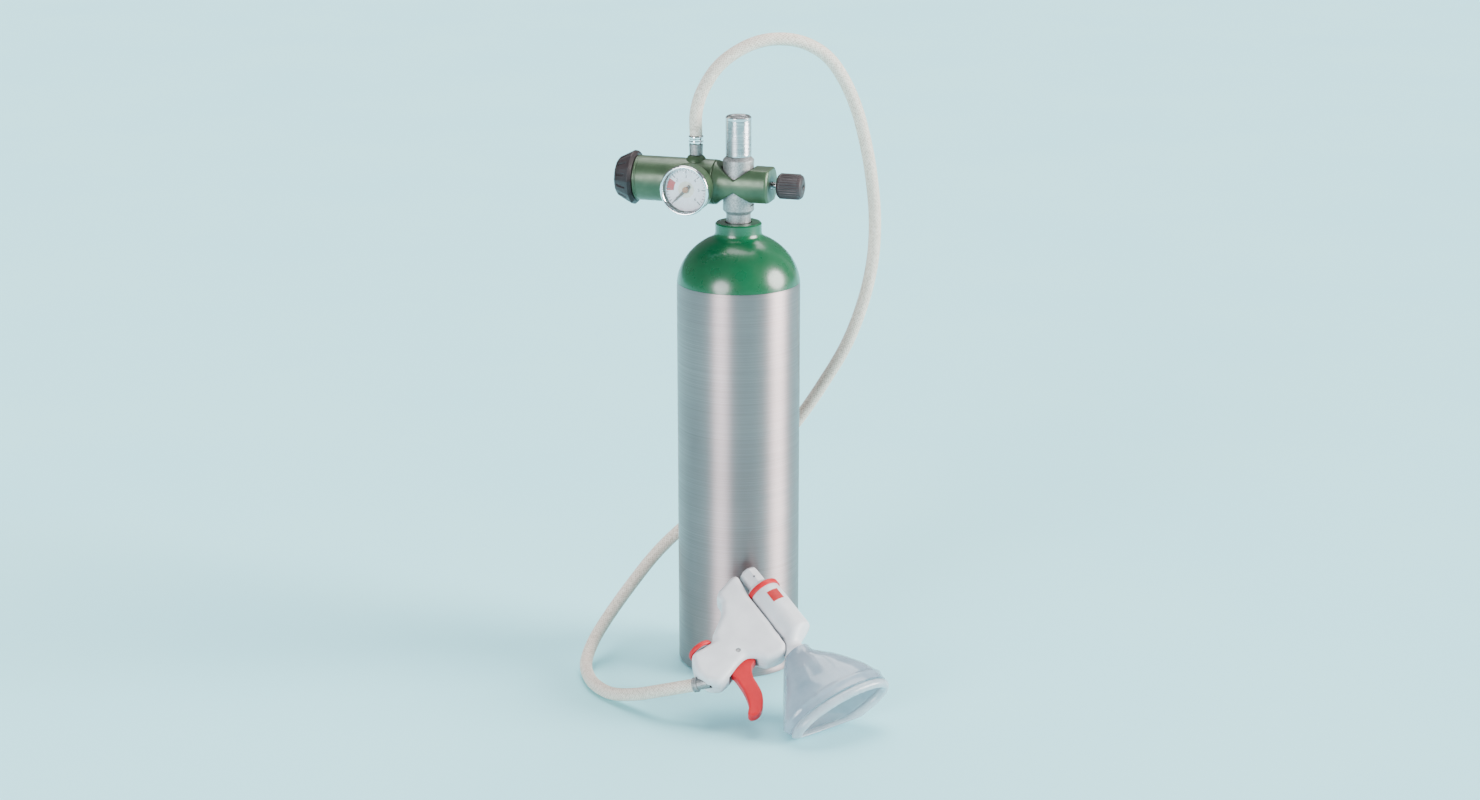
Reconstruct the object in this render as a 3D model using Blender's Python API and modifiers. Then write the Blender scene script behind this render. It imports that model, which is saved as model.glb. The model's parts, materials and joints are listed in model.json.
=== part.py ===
"""A portable oxygen cylinder with a post valve, a yoke regulator with a gauge, a hose, and a
hand-triggered valve with a breathing mask.

Sizes in this file are millimetres, and MM turns them to Blender's metres. The origin is the centre
of the cylinder's base, +Z is up, the regulator lies along X and its gauge faces -Y.
"""

import math

import bmesh
import bpy
from mathutils import Matrix, Vector

MM = 0.001
GAP = 0.3  # between pieces that touch

# Cylinder
CYLINDER_R = 55.65
CYLINDER_H = 417.0
SHOULDER_Z = 358.7  # where the straight wall ends
SHOULDER_RISE = 49.3
WALL = 5.2
FLOOR = 9.0
BASE_ROUND = 5.0
NECK_R = 20.9
NECK_BORE_R = 9.8

# Post valve, on the Z axis
STEM_R = 11.0
BLOCK_R = 14.0
BLOCK_LOW = 425.0
BLOCK_HIGH = 477.0
BLOCK_CHAMFER = 3.3
FLAT_X = 12.5  # half the width across the two flats
KNOB_R = 11.5
KNOB_HIGH = 513.0

# Regulator, along X at this height
AXIS_Z = 452.0
YOKE_R = 18.7
YOKE_HALF_H = 14.75
WAIST_HALF_H = 5.5
WINDOW_R = 14.35
BARREL_R = 20.1
BARREL_LEFT = -94.0
OUTLET_X = -39.5
GAUGE_X = -39.0
GAUGE_DROP = 2.0  # gauge axis below the regulator's
POINTER_ZERO = math.radians(135.0)  # the pointer at rest, turned anticlockwise from straight up

# Handpiece: a plane that leans back on the cylinder. Its local X runs along the barrel towards the
# mask, Y towards the grip, and Z away from the front.
HANDPIECE_AT = (45.17, -71.10, 93.91)
HANDPIECE_TURN = math.radians(17.0)
HANDPIECE_LEAN = math.radians(53.5)
HANDPIECE_DROP = math.radians(56.23)
HAND_BARREL_R = 15.0
OUTLET_OFFSET = 11.5  # of the mask's axis from the barrel's
GRIP_HALF = 11.5
GRIP_WALL = 2.5
TRIGGER_HALF = 5.0
TRIGGER_PIVOT = (43.0, 56.0)
GRIP_FITTING_AT = (48.5, 97.0, 0.0)
GRIP_FITTING_AXIS = (-0.55, 0.75, 0.37)

# Hose
HOSE_R = 5.75
HOSE_ROUTE = [
    (-39.5, 0.0, 493.1),
    (-39.5, 0.4, 513.0),
    (-34.0, 2.6, 533.0),
    (-21.0, 8.2, 554.5),
    (-3.0, 18.0, 569.0),
    (15.5, 29.0, 576.0),
    (34.5, 40.5, 576.0),
    (51.0, 51.0, 570.0),
    (66.0, 61.0, 557.5),
    (78.0, 70.5, 536.5),
    (87.0, 79.0, 511.0),
    (93.5, 85.5, 482.0),
    (98.5, 91.0, 449.0),
    (101.5, 95.5, 409.0),
    (99.5, 98.5, 368.0),
    (91.0, 99.0, 327.0),
    (76.0, 97.0, 285.0),
    (54.5, 92.0, 245.5),
    (32.0, 85.5, 210.0),
    (7.0, 77.5, 177.5),
    (-19.5, 68.5, 150.0),
    (-46.0, 57.0, 126.5),
    (-70.5, 41.0, 105.0),
    (-89.0, 21.5, 85.0),
    (-104.5, -3.5, 62.0),
    (-117.5, -28.0, 39.5),
    (-126.0, -49.0, 20.5),
    (-125.0, -73.0, 9.0),
    (-115.5, -95.5, 6.3),
    (-99.5, -118.0, 6.0),
    (-78.0, -134.5, 7.0),
    (-50.5, -148.0, 15.0),
]
HOSE_STEP = 27.0


def clear_scene():
    for old in list(bpy.data.objects):
        bpy.data.objects.remove(old, do_unlink=True)


def new_collection(name):
    made = bpy.data.collections.new(name)
    bpy.context.scene.collection.children.link(made)
    return made


def finish(name, colour, roughness, metallic=0.0, alpha=1.0):
    """A Principled material."""
    made = bpy.data.materials.new(name)
    made.use_nodes = True
    shader = made.node_tree.nodes["Principled BSDF"]
    shader.inputs["Base Color"].default_value = (*colour, 1.0)
    shader.inputs["Roughness"].default_value = roughness
    shader.inputs["Metallic"].default_value = metallic
    shader.inputs["Alpha"].default_value = alpha
    return made


clear_scene()
PARTS = new_collection("oxygen_cylinder")
CUTTERS = new_collection("cutters")
ALUMINIUM = finish("brushed_aluminium", (0.72, 0.73, 0.75), 0.35, 1.0)
CAST_METAL = finish("cast_metal", (0.42, 0.43, 0.44), 0.6, 0.8)
CHROME = finish("chrome", (0.85, 0.86, 0.88), 0.12, 1.0)
STEEL = finish("steel", (0.55, 0.56, 0.58), 0.35, 1.0)
BRASS = finish("brass", (0.72, 0.55, 0.25), 0.35, 1.0)
GREEN = finish("green_anodised", (0.08, 0.17, 0.09), 0.45, 0.5)
DARK_KNOB = finish("dark_plastic", (0.07, 0.055, 0.055), 0.5)
RUBBER = finish("black_rubber", (0.03, 0.03, 0.03), 0.8)
DIAL_WHITE = finish("dial_white", (0.8, 0.8, 0.84), 0.5)
POINTER_DARK = finish("pointer_dark", (0.15, 0.08, 0.05), 0.5)
LENS = finish("lens", (0.95, 0.97, 1.0), 0.05, 0.0, 0.25)
HOSE_CREAM = finish("hose_cream", (0.72, 0.66, 0.58), 0.7)
WHITE_PLASTIC = finish("white_plastic", (0.75, 0.76, 0.78), 0.45)
RED_PLASTIC = finish("red_plastic", (0.75, 0.06, 0.08), 0.4)
SILICONE = finish("silicone", (0.7, 0.7, 0.68), 0.6)
MASK_CLEAR = finish("mask_clear", (0.55, 0.65, 0.72), 0.15, 0.0, 0.5)


def add(name, mesh, material, at=(0, 0, 0), axis=(0, 0, 1), parent=None):
    """Puts a mesh in the scene with its own Z along axis. A cutter has no material."""
    made = bpy.data.objects.new(name, mesh)
    (CUTTERS if material is None else PARTS).objects.link(made)
    if material is None:
        made.hide_render = True
        made.display_type = "WIRE"
    else:
        mesh.materials.append(material)
    made.parent = parent
    made.location = Vector(at) * MM
    made.rotation_mode = "QUATERNION"
    made.rotation_quaternion = Vector((0, 0, 1)).rotation_difference(Vector(axis))
    return made


def arc(centre, radii, first, last, count):
    """Points of an elliptical arc in (radius, height), its angles in degrees from +radius."""
    for i in range(count + 1):
        angle = math.radians(first + (last - first) * i / count)
        yield (centre[0] + radii[0] * math.cos(angle), centre[1] + radii[1] * math.sin(angle))


def turned(name, profile, material, at=(0, 0, 0), axis=(0, 0, 1), steps=20, parent=None):
    """A turned piece. Its (radius, height) profile runs down the outside, then up any bore."""
    mesh = bpy.data.meshes.new(name)
    edges = [(i, i + 1) for i in range(len(profile) - 1)]
    if profile[0][0] > 0 or profile[-1][0] > 0:
        edges.append((len(profile) - 1, 0))
    mesh.from_pydata([(r * MM, 0, h * MM) for r, h in profile], edges, [])
    made = add(name, mesh, material, at, axis, parent)
    screw = made.modifiers.new("turn", "SCREW")
    screw.steps = screw.render_steps = steps
    screw.use_merge_vertices = True
    screw.merge_threshold = 0.00001
    screw.use_smooth_shade = False
    return made


def rod(name, radius, low, high, material, chamfer=0.0, **where):
    """A round bar between two heights."""
    if chamfer:
        profile = [(0, high), (radius - chamfer, high), (radius, high - chamfer)]
        profile += [(radius, low + chamfer), (radius - chamfer, low), (0, low)]
    else:
        profile = [(0, high), (radius, high), (radius, low), (0, low)]
    return turned(name, profile, material, **where)


def sleeve(name, outer, inner, low, high, material, chamfer=0.0, **where):
    """A round tube between two heights."""
    profile = [(outer, high), (outer, low), (inner, low), (inner, high)]
    if chamfer:
        profile = [(outer - chamfer, high), (outer, high - chamfer), (outer, low + chamfer),
                   (outer - chamfer, low), (inner, low), (inner, high)]
    return turned(name, profile, material, **where)


def o_ring(name, major, minor, height, material, **where):
    """A ring of round section."""
    profile = list(arc((major, height), (minor, minor), 90, -270, 6))[:-1]
    return turned(name, profile, material, **where)


def cut(obj, cutter, operation="DIFFERENCE", solver="EXACT"):
    made = obj.modifiers.new(cutter.name, "BOOLEAN")
    made.operation = operation
    made.solver = solver
    made.object = cutter


def drill(obj, radius, start, end, steps=16, parent=None, solver="EXACT"):
    """A round hole between two points."""
    axis = Vector(end) - Vector(start)
    name = f"{obj.name}_hole_{len(obj.modifiers)}"
    hole = rod(name, radius, 0, axis.length, None, at=start, axis=axis, steps=steps, parent=parent)
    cut(obj, hole, solver=solver)


def block(name, low, high, parent=None):
    """A box cutter between two corners."""
    mesh = bpy.data.meshes.new(name)
    shape = bmesh.new()
    bmesh.ops.create_cube(shape, size=1)
    middle = (Vector(low) + Vector(high)) / 2
    for vertex in shape.verts:
        sides = (Vector(high) - Vector(low)) * MM
        vertex.co = Vector(c * s for c, s in zip(vertex.co, sides))
    shape.to_mesh(mesh)
    shape.free()
    return add(name, mesh, None, at=middle, parent=parent)


def as_mesh(curve_object, material):
    """Turns a curve object into a closed mesh object, and removes the curve."""
    graph = bpy.context.evaluated_depsgraph_get()
    mesh = bpy.data.meshes.new_from_object(curve_object.evaluated_get(graph))
    shape = bmesh.new()
    shape.from_mesh(mesh)
    bmesh.ops.remove_doubles(shape, verts=shape.verts, dist=0.00001)
    bmesh.ops.recalc_face_normals(shape, faces=shape.faces)
    shape.to_mesh(mesh)
    shape.free()
    mesh.materials.clear()
    name, parent = curve_object.name, curve_object.parent
    place = curve_object.matrix_basis.copy()
    bpy.data.objects.remove(curve_object, do_unlink=True)
    made = add(name, mesh, material, parent=parent)
    made.name = name
    made.matrix_basis = place
    return made


def curve_of(name, points, closed=False, parent=None):
    """A curve object on a POLY spline."""
    curve = bpy.data.curves.new(name, "CURVE")
    curve.dimensions = "3D"
    spline = curve.splines.new("POLY")
    spline.points.add(len(points) - 1)
    for point, place in zip(spline.points, points):
        point.co = (*(Vector(place) * MM), 1.0)
    spline.use_cyclic_u = closed
    made = bpy.data.objects.new(name, curve)
    PARTS.objects.link(made)
    made.parent = parent
    return made


def tube(name, points, radius, material, sides=2, closed=False, **where):
    """A round bar bent along a line of points."""
    made = curve_of(name, points, closed, where.get("parent"))
    made.data.bevel_depth = radius * MM
    made.data.bevel_resolution = sides
    made.data.use_fill_caps = not closed
    made.data.materials.append(material)
    made.location = Vector(where.get("at", (0, 0, 0))) * MM
    made.rotation_mode = "QUATERNION"
    turn = Vector((0, 0, 1)).rotation_difference(Vector(where.get("axis", (0, 0, 1))))
    made.rotation_quaternion = turn
    return made


def coil(name, radius, wire, low, high, turns, material, **where):
    """A coil spring between two heights."""
    count = int(turns * 8)
    points = []
    for i in range(count + 1):
        angle = 2 * math.pi * turns * i / count
        height = low + wire + (high - low - 2 * wire) * i / count
        points.append((radius * math.cos(angle), radius * math.sin(angle), height))
    return tube(name, points, wire, material, sides=0, **where)


def slab(name, outline, low, high, material, parent=None, bevel=0.0, segments=2):
    """A flat (x, y) outline made solid between two heights, with rounded rims."""
    curve = curve_of(name, [(x, y, 0) for x, y in outline], True, parent)
    curve.data.dimensions = "2D"
    curve.data.fill_mode = "BOTH"
    curve.data.extrude = (high - low) / 2 * MM
    curve.location = (0, 0, (low + high) / 2 * MM)
    made = as_mesh(curve, material)
    if bevel:
        rounding = made.modifiers.new("round", "BEVEL")
        rounding.width = bevel * MM
        rounding.segments = segments
        rounding.limit_method = "ANGLE"
        rounding.angle_limit = math.radians(60)
    return made


def smooth_line(points, step, closed=False):
    """Evenly spaced points on a smooth curve through the given ones (Catmull-Rom)."""
    p = [Vector(q) for q in points]
    count = len(p)
    fine = []
    for i in range(count if closed else count - 1):
        if closed:
            a, b, c, d = (p[(i + k) % count] for k in (-1, 0, 1, 2))
        else:
            b, c = p[i], p[i + 1]
            a = p[i - 1] if i else 2 * b - c
            d = p[i + 2] if i + 2 < count else 2 * c - b
        for j in range(12):
            t = j / 12
            fine.append(0.5 * (2 * b + (c - a) * t + (2 * a - 5 * b + 4 * c - d) * t ** 2
                               + (3 * b - a - 3 * c + d) * t ** 3))
    fine.append(p[0] if closed else p[-1])
    lengths = [0.0]
    for first, second in zip(fine, fine[1:]):
        lengths.append(lengths[-1] + (second - first).length)
    pieces = max(2, round(lengths[-1] / step))
    line, k = [], 0
    for i in range(pieces if closed else pieces + 1):
        wanted = lengths[-1] * i / pieces
        while k < len(fine) - 2 and lengths[k + 1] < wanted:
            k += 1
        share = (wanted - lengths[k]) / max(lengths[k + 1] - lengths[k], 1e-9)
        line.append(fine[k].lerp(fine[k + 1], share))
    return line


def loft(name, rings, material, parent=None, caps=True):
    """A skin over rings of equally many points, which run anticlockwise seen from the last one."""
    mesh = bpy.data.meshes.new(name)
    count = len(rings[0])
    faces = []
    for i in range(len(rings) - 1):
        for j in range(count):
            k = (j + 1) % count
            faces.append((i * count + j, i * count + k, (i + 1) * count + k, (i + 1) * count + j))
    if caps:
        faces.append(tuple(reversed(range(count))))
        faces.append(tuple((len(rings) - 1) * count + j for j in range(count)))
    mesh.from_pydata([tuple(Vector(q) * MM) for ring in rings for q in ring], [], faces)
    return add(name, mesh, material, parent=parent)


def build_cylinder():
    """The pressure vessel, a hollow bottle with a bored neck."""
    outer = [(12.0, CYLINDER_H), (NECK_R - 0.8, CYLINDER_H), (NECK_R, CYLINDER_H - 0.8), (NECK_R, 407.5)]
    lower_shoulder = math.degrees(math.acos(23.5 / CYLINDER_R))
    outer += list(arc((0, SHOULDER_Z), (CYLINDER_R, SHOULDER_RISE), lower_shoulder, 0, 7))
    outer += list(arc((CYLINDER_R - BASE_ROUND, BASE_ROUND), (BASE_ROUND, BASE_ROUND), 0, -90, 2))
    outer += [(0, 0)]
    inside_r = CYLINDER_R - WALL
    inner = [(0, FLOOR), (inside_r - 12, FLOOR), (inside_r, FLOOR + 12)]
    inner += list(arc((0, SHOULDER_Z), (inside_r, SHOULDER_RISE - 8), 0, 72, 3))
    inner += [(NECK_BORE_R, 400.0), (NECK_BORE_R, CYLINDER_H - 2.2), (12.0, CYLINDER_H - 2.2)]
    turned("cylinder_shell", inner + outer, ALUMINIUM, steps=36)
    o_ring("neck_seal_ring", 10.9, 0.95, CYLINDER_H - 1.1, RUBBER, steps=16)


def build_valve():
    """The post valve: its body, and the handle, spindle and plug that close it."""
    top, low = BLOCK_HIGH, BLOCK_LOW
    profile = [(BLOCK_R - BLOCK_CHAMFER, top), (BLOCK_R, top - BLOCK_CHAMFER),
               (BLOCK_R, low + BLOCK_CHAMFER), (STEM_R, low), (STEM_R, CYLINDER_H + GAP),
               (9.5, CYLINDER_H + GAP), (9.5, 392.0), (2.0, 392.0), (2.0, 440.0),
               (4.4, 440.0), (4.4, 464.0), (7.5, 464.0), (7.5, top)]
    body = turned("valve_body", profile, CAST_METAL, steps=20)
    for side in (-1, 1):
        near, far = sorted((side * FLAT_X, side * 20.0))
        cut(body, block(f"valve_flat_{side}", (near, -12, 433), (far, 12, 471)))
    drill(body, 3.3, (-20, 0, AXIS_Z), (-2, 0, AXIS_Z))
    for y in (-3.2, 3.2):
        drill(body, 2.2, (-20, y, AXIS_Z - 11), (-8.5, y, AXIS_Z - 11), steps=12)
    drill(body, 4.3, (0, 5, 433), (0, 20, 433))
    drill(body, 1.5, (0, 1, 433), (0, 6, 433), steps=12)
    rod("valve_plug", 3.9, 440.3, 445.5, RUBBER, 0.6, steps=20)
    rod("valve_spindle", 3.4, 448.0, 505.0, BRASS, 0.5, steps=20)
    sleeve("valve_packing", 7.2, 3.7, 464.3, 467.5, RUBBER, steps=20)
    sleeve("gland_nut", 7.2, 3.7, 467.8, 480.0, BRASS, 0.5, steps=20)
    profile = [(0, KNOB_HIGH), (KNOB_R - 1.3, KNOB_HIGH), (KNOB_R, KNOB_HIGH - 1.3),
               (KNOB_R, top + GAP), (8.2, top + GAP), (8.2, 484), (3.7, 484), (3.7, 505.3), (0, 505.3)]
    turned("valve_knob", profile, STEEL, steps=20)
    profile = [(0, 17.5), (4.4, 17.5), (5.2, 16.7), (5.2, 14.3), (4.0, 14.3), (4.0, 6.6), (0, 6.6)]
    turned("relief_plug", profile, BRASS, at=(0, 0, 433), axis=(0, 1, 0), steps=6)


def build_yoke():
    """The yoke over the post, with its seal, pins and clamp."""
    along_x = {"at": (0, 0, AXIS_Z), "axis": (1, 0, 0)}
    profile = [(0, 31), (YOKE_R - 1.5, 31), (YOKE_R, 29.5), (YOKE_R, -14), (BARREL_R, -20), (0, -20)]
    yoke = turned("regulator_yoke", profile, GREEN, steps=20, **along_x)
    # Seen from the front, the yoke narrows to a waist where it crosses the post.
    half = [(-21, 20.5), (-20, 20.3), (-14, YOKE_HALF_H), (0, WAIST_HALF_H), (14, YOKE_HALF_H),
            (32, YOKE_HALF_H)]
    outline = half + [(x, -z) for x, z in reversed(half)]
    side_view = slab("yoke_side_view", outline, -25, 25, None)
    side_view.matrix_basis = Matrix.Translation((0, 0, AXIS_Z * MM)) @ Matrix.Rotation(math.pi / 2, 4, "X")
    cut(yoke, side_view, "INTERSECT")
    drill(yoke, WINDOW_R, (0, 0, AXIS_Z - 30), (0, 0, AXIS_Z + 30), steps=20)
    cut(yoke, block("yoke_seat", (-14.6, -6.5, AXIS_Z - 16), (0, 6.5, AXIS_Z + 16)))
    drill(yoke, 6.2, (5, 0, AXIS_Z), (20.8, 0, AXIS_Z))
    drill(yoke, 3.3, (18, 0, AXIS_Z), (40, 0, AXIS_Z), steps=16)
    drill(yoke, 3.2, (-25, 0, AXIS_Z), (-10, 0, AXIS_Z), steps=16)
    for side, y in (("left", -3.2), ("right", 3.2)):
        drill(yoke, 2.1, (-18.8, y, AXIS_Z - 11), (-10, y, AXIS_Z - 11), steps=12)
        rod(f"index_pin_{side}", 1.8, -18.4, -9.4, STEEL, 0.4, at=(0, y, AXIS_Z - 11), axis=(1, 0, 0),
            steps=12)
    sleeve("seal_washer", 5.5, 3.3, -14.3, -12.8, RUBBER, steps=20, **along_x)
    sleeve("inlet_nipple", 2.9, 1.3, -25.5, -9.8, BRASS, 0.3, steps=16, **along_x)
    rod("clamp_pad", 5.5, FLAT_X + GAP, 15.8, STEEL, 0.6, steps=20, **along_x)
    rod("clamp_screw", 3.0, 16.1, 47.5, STEEL, 0.4, steps=20, **along_x)
    profile = [(0, 56), (1.8, 56), (1.8, 60), (6.5, 60), (9.6, 59), (11.5, 56.6), (11.5, 39.2),
               (9.6, 37), (3.3, 37), (3.3, 48), (0, 48)]
    turned("clamp_knob", profile, DARK_KNOB, steps=20, **along_x)


def build_regulator():
    """The regulator's barrel with its piston, and the flow selector on its end."""
    along_x = {"at": (0, 0, AXIS_Z), "axis": (1, 0, 0)}
    left, right = BARREL_LEFT, -20 - GAP
    profile = [(BARREL_R, right), (BARREL_R, left), (14.2, left), (14.2, -50), (5.0, -50), (5.0, -40),
               (1.6, -40), (1.6, -29), (3.2, -29), (3.2, right)]
    barrel = turned("regulator_barrel", profile, GREEN, steps=20, **along_x)
    above = {"at": (OUTLET_X, 0, AXIS_Z)}
    outline = [(0, 23.3), (6.4, 23.3), (9.6, 18.5), (9.6, 12), (0, 12)]
    cut(barrel, turned("outlet_boss", outline, None, steps=20, **above), "UNION")
    drill(barrel, 4.3, (OUTLET_X, 0, AXIS_Z + 2), (OUTLET_X, 0, AXIS_Z + 30))
    gauge_z = AXIS_Z - GAUGE_DROP
    drill(barrel, 4.3, (GAUGE_X, -3, gauge_z), (GAUGE_X, -26, gauge_z))

    profile = [(0, -43), (2.0, -43), (2.0, -46), (4.6, -46), (4.6, -66), (13.8, -66), (13.8, -67.4),
               (11.8, -67.4), (11.8, -69.8), (13.8, -69.8), (13.8, -71.4), (0, -71.4)]
    turned("piston", profile, ALUMINIUM, **along_x)
    o_ring("piston_seal_ring", 13.0, 0.95, -68.6, RUBBER, steps=16, **along_x)
    coil("piston_spring", 9.5, 1.0, -65.6, -50.4, 3.5, STEEL, **along_x)
    sleeve("regulator_bonnet", 13.9, 3.5, -93.6, -84.4, BRASS, 0.4, **along_x)
    orifice = sleeve("orifice_disc", 12.0, 3.3, -84.0, -80.8, BRASS, **along_x)
    for i in range(8):
        angle = 2 * math.pi * i / 8
        y, z = 8.5 * math.cos(angle), AXIS_Z + 8.5 * math.sin(angle)
        drill(orifice, 0.6 + 0.1 * i, (-88, y, z), (-78, y, z), 6, None, "MANIFOLD")
    profile = [(0, -78.6), (5.0, -78.6), (5.0, -80.5), (3.0, -80.5), (3.0, -105.6), (0, -105.6)]
    turned("selector_shaft", profile, STEEL, steps=20, **along_x)
    profile = [(0, -106), (3.3, -106), (3.3, left - GAP), (22.5, left - GAP), (24.75, -97),
               (17.6, -111), (16.4, -112), (0, -112)]
    turned("flow_knob", profile, DARK_KNOB, steps=20, **along_x)

    sleeve_profile = [(3.2, 40.3), (3.2, 33.6), (6.25, 33.6), (6.25, 23.6), (4.0, 23.6), (4.0, 12.0),
                      (1.5, 12.0), (1.5, 40.3)]
    turned("outlet_fitting", sleeve_profile, CAST_METAL, steps=20, **above)
    sleeve("hose_ferrule", 6.7, 3.6, 33.9, 40.7, CHROME, 0.4, steps=20, **above)


def build_gauge():
    """The pressure gauge. Heights here run out of the regulator towards the front."""
    where = {"at": (GAUGE_X, 0, AXIS_Z - GAUGE_DROP), "axis": (0, -1, 0)}
    profile = [(22.0, 33.7), (22.0, 10), (4.4, 10), (4.4, 23.5), (20.0, 23.5), (20.0, 33.7)]
    case = turned("gauge_case", profile, GREEN, steps=20, **where)
    drill(case, BARREL_R + GAP, (-90, 0, AXIS_Z), (0, 0, AXIS_Z), steps=48)
    profile = [(5.0, 25.2), (5.0, 23.8), (4.0, 23.8), (4.0, 12), (1.2, 12), (1.2, 25.2)]
    turned("gauge_stem", profile, BRASS, steps=16, **where)
    points = [(0, -5.6 - i * 1.6, 25.8) for i in range(4)]
    for i in range(19):
        angle = math.radians(-78 + 13 * i)
        points.append((14 * math.cos(angle), 14 * math.sin(angle), 25.8))
    tube("bourdon_tube", points, 1.3, BRASS, sides=0, **where)
    sleeve("movement_plate", 11.5, 1.3, 28.9, 29.6, BRASS, steps=20, **where)
    sector_pivot, reach = (0, -8.0), 6.3
    outline = [(1.6 * math.cos(a), sector_pivot[1] + 1.6 * math.sin(a))
               for a in (math.pi * (0.75 + k / 4) for k in range(7))]
    outline += [(reach * math.sin(a), sector_pivot[1] + reach * math.cos(a))
                for a in (math.radians(68 - 76 * k / 8) for k in range(9))]
    empty = empty_at("gauge_front", where["at"], where["axis"])
    slab("sector_gear", outline, 27.5, 28.4, BRASS, parent=empty)
    profile = [(0, 33.1), (1.0, 33.1), (1.0, 28.6), (1.4, 28.6), (1.4, 27.5), (0, 27.5)]
    turned("pointer_shaft", profile, STEEL, steps=12, **where)
    outline = [(1.3, -5.5), (1.6, -1.5), (0.45, 15.5), (-0.45, 15.5), (-1.6, -1.5), (-1.3, -5.5)]
    outline = [tuple(Matrix.Rotation(POINTER_ZERO, 2) @ Vector(point)) for point in outline]
    pointer = slab("gauge_pointer", outline, 32.0, 32.7, POINTER_DARK, parent=empty)
    drill(pointer, 1.15, (0, 0, 30), (0, 0, 35), steps=12, parent=empty)
    sleeve("gauge_dial", 19.6, 1.4, 30.3, 31.0, DIAL_WHITE, steps=20, **where)
    rod("gauge_lens", 20.4, 34.4, 35.9, LENS, 0.3, steps=20, **where)
    profile = [(20.2, 38.0), (21.7, 38.0), (22.5, 37.0), (22.5, 34.0), (20.9, 34.0), (20.9, 36.2),
               (19.6, 36.2)]
    turned("gauge_bezel", profile, CHROME, steps=20, **where)


def empty_at(name, at, axis):
    made = bpy.data.objects.new(name, None)
    PARTS.objects.link(made)
    made.location = Vector(at) * MM
    made.rotation_mode = "QUATERNION"
    made.rotation_quaternion = Vector((0, 0, 1)).rotation_difference(Vector(axis))
    return made


def handpiece_matrix():
    """Where the handpiece lies: columns along the barrel, towards the grip and away from the front."""
    across = Vector((math.cos(HANDPIECE_TURN), math.sin(HANDPIECE_TURN), 0))
    away = Vector((-math.sin(HANDPIECE_TURN), math.cos(HANDPIECE_TURN), 0))
    up_slope = away * math.sin(HANDPIECE_LEAN) + Vector((0, 0, 1)) * math.cos(HANDPIECE_LEAN)
    along = across * math.cos(HANDPIECE_DROP) - up_slope * math.sin(HANDPIECE_DROP)
    grip = -across * math.sin(HANDPIECE_DROP) - up_slope * math.cos(HANDPIECE_DROP)
    turn = Matrix((along, grip, along.cross(grip))).transposed().to_4x4()
    return Matrix.Translation(Vector(HANDPIECE_AT) * MM) @ turn


def ring_points(s, offset, radius, count=20):
    """A circle across the barrel's axis."""
    angles = [2 * math.pi * i / count for i in range(count)]
    return [(s, offset + radius * math.cos(a), radius * math.sin(a)) for a in angles]


GRIP_OUTLINE = [
    (-26.0, 11.5), (-25.0, 19.0), (-22.5, 27.0), (-19.5, 36.0), (-15.0, 40.5), (-8.0, 40.5),
    (3.0, 47.8), (11.0, 58.5), (16.5, 66.0), (22.0, 67.6), (22.0, 92.4), (27.5, 94.5), (35.0, 97.5),
    (43.0, 98.8), (55.0, 95.8), (62.5, 87.5), (59.5, 76.5), (54.0, 64.0), (51.0, 52.0),
    (56.5, 46.0), (63.5, 40.0), (66.0, 31.0), (67.0, 21.5), (60.0, 16.0), (30.0, 15.5), (0.0, 15.5),
]


def inset(outline, distance):
    """The outline moved inwards. It runs clockwise."""
    moved = []
    for i, point in enumerate(outline):
        before = Vector(point) - Vector(outline[i - 1])
        after = Vector(outline[(i + 1) % len(outline)]) - Vector(point)
        normal = (before.normalized() + after.normalized()).normalized()
        moved.append(tuple(Vector(point) + distance * Vector((normal.y, -normal.x))))
    return moved


SCREWS = [(-13.0, 30.0), (36.0, 84.0)]


def build_grip(frame):
    """The two halves of the handle's casing."""
    pieces = []
    for name, low, high in (("grip_shell_front", -GAP / 2, 60), ("grip_shell_back", -60, GAP / 2)):
        shell = slab(name, GRIP_OUTLINE, -GRIP_HALF, GRIP_HALF, WHITE_PLASTIC, frame, bevel=5.0)
        cut(shell, block(f"{name}_other_half", (-60, -20, low), (140, 140, high), frame))
        pieces.append(shell)
    hollow = slab("grip_hollow", inset(GRIP_OUTLINE, GRIP_WALL), -9.0, 9.0, None, frame)
    for k, (s, t) in enumerate(SCREWS):
        cut(hollow, rod(f"grip_post_{k}", 3.6, -12, 12, None, at=(s, t, 0), steps=16, parent=frame))
    axis = Vector(GRIP_FITTING_AXIS).normalized()
    for shell in pieces:
        cut(shell, hollow)
        drill(shell, HAND_BARREL_R + GAP, (-8, 0, 0), (90, 0, 0), 20, frame)
        drill(shell, 9.2, (-40, 0, 0), (-5, 0, 0), 20, frame)
        drill(shell, 16.8, (-3.2, 0, 0), (3.2, 0, 0), 20, frame)
        drill(shell, 11.4, (51, OUTLET_OFFSET, 0), (90, OUTLET_OFFSET, 0), 20, frame)
        drill(shell, 13.2, (50, 5, 0), (60, 5, 0), 20, frame)
        cut(shell, block(f"{shell.name}_slot", (43, 44, -5.8), (66, 76.5, 5.8), frame))
        drill(shell, 2.3, (*TRIGGER_PIVOT, -14), (*TRIGGER_PIVOT, 14), 12, frame)
        drill(shell, 9.9, (15, 80, 0), (26, 80, 0), 20, frame)
        at = Vector(GRIP_FITTING_AT)
        drill(shell, 5.2, at - axis * 9, at + axis * 12, 16, frame)
        drill(shell, 7.2, at + axis * 4, at + axis * 20, 20, frame)
        for s, t in SCREWS:
            drill(shell, 1.7, (s, t, -6.5), (s, t, 14), 10, frame)
            drill(shell, 3.1, (s, t, 9.2), (s, t, 14), 14, frame)
    for k, (s, t) in enumerate(SCREWS):
        profile = [(0, 11.0), (2.8, 11.0), (2.8, 9.6), (1.4, 9.6), (1.4, -6.0), (0, -6.0)]
        turned(f"grip_screw_{k + 1}", profile, STEEL, at=(s, t, 0), steps=12, parent=frame)
    return axis


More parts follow.
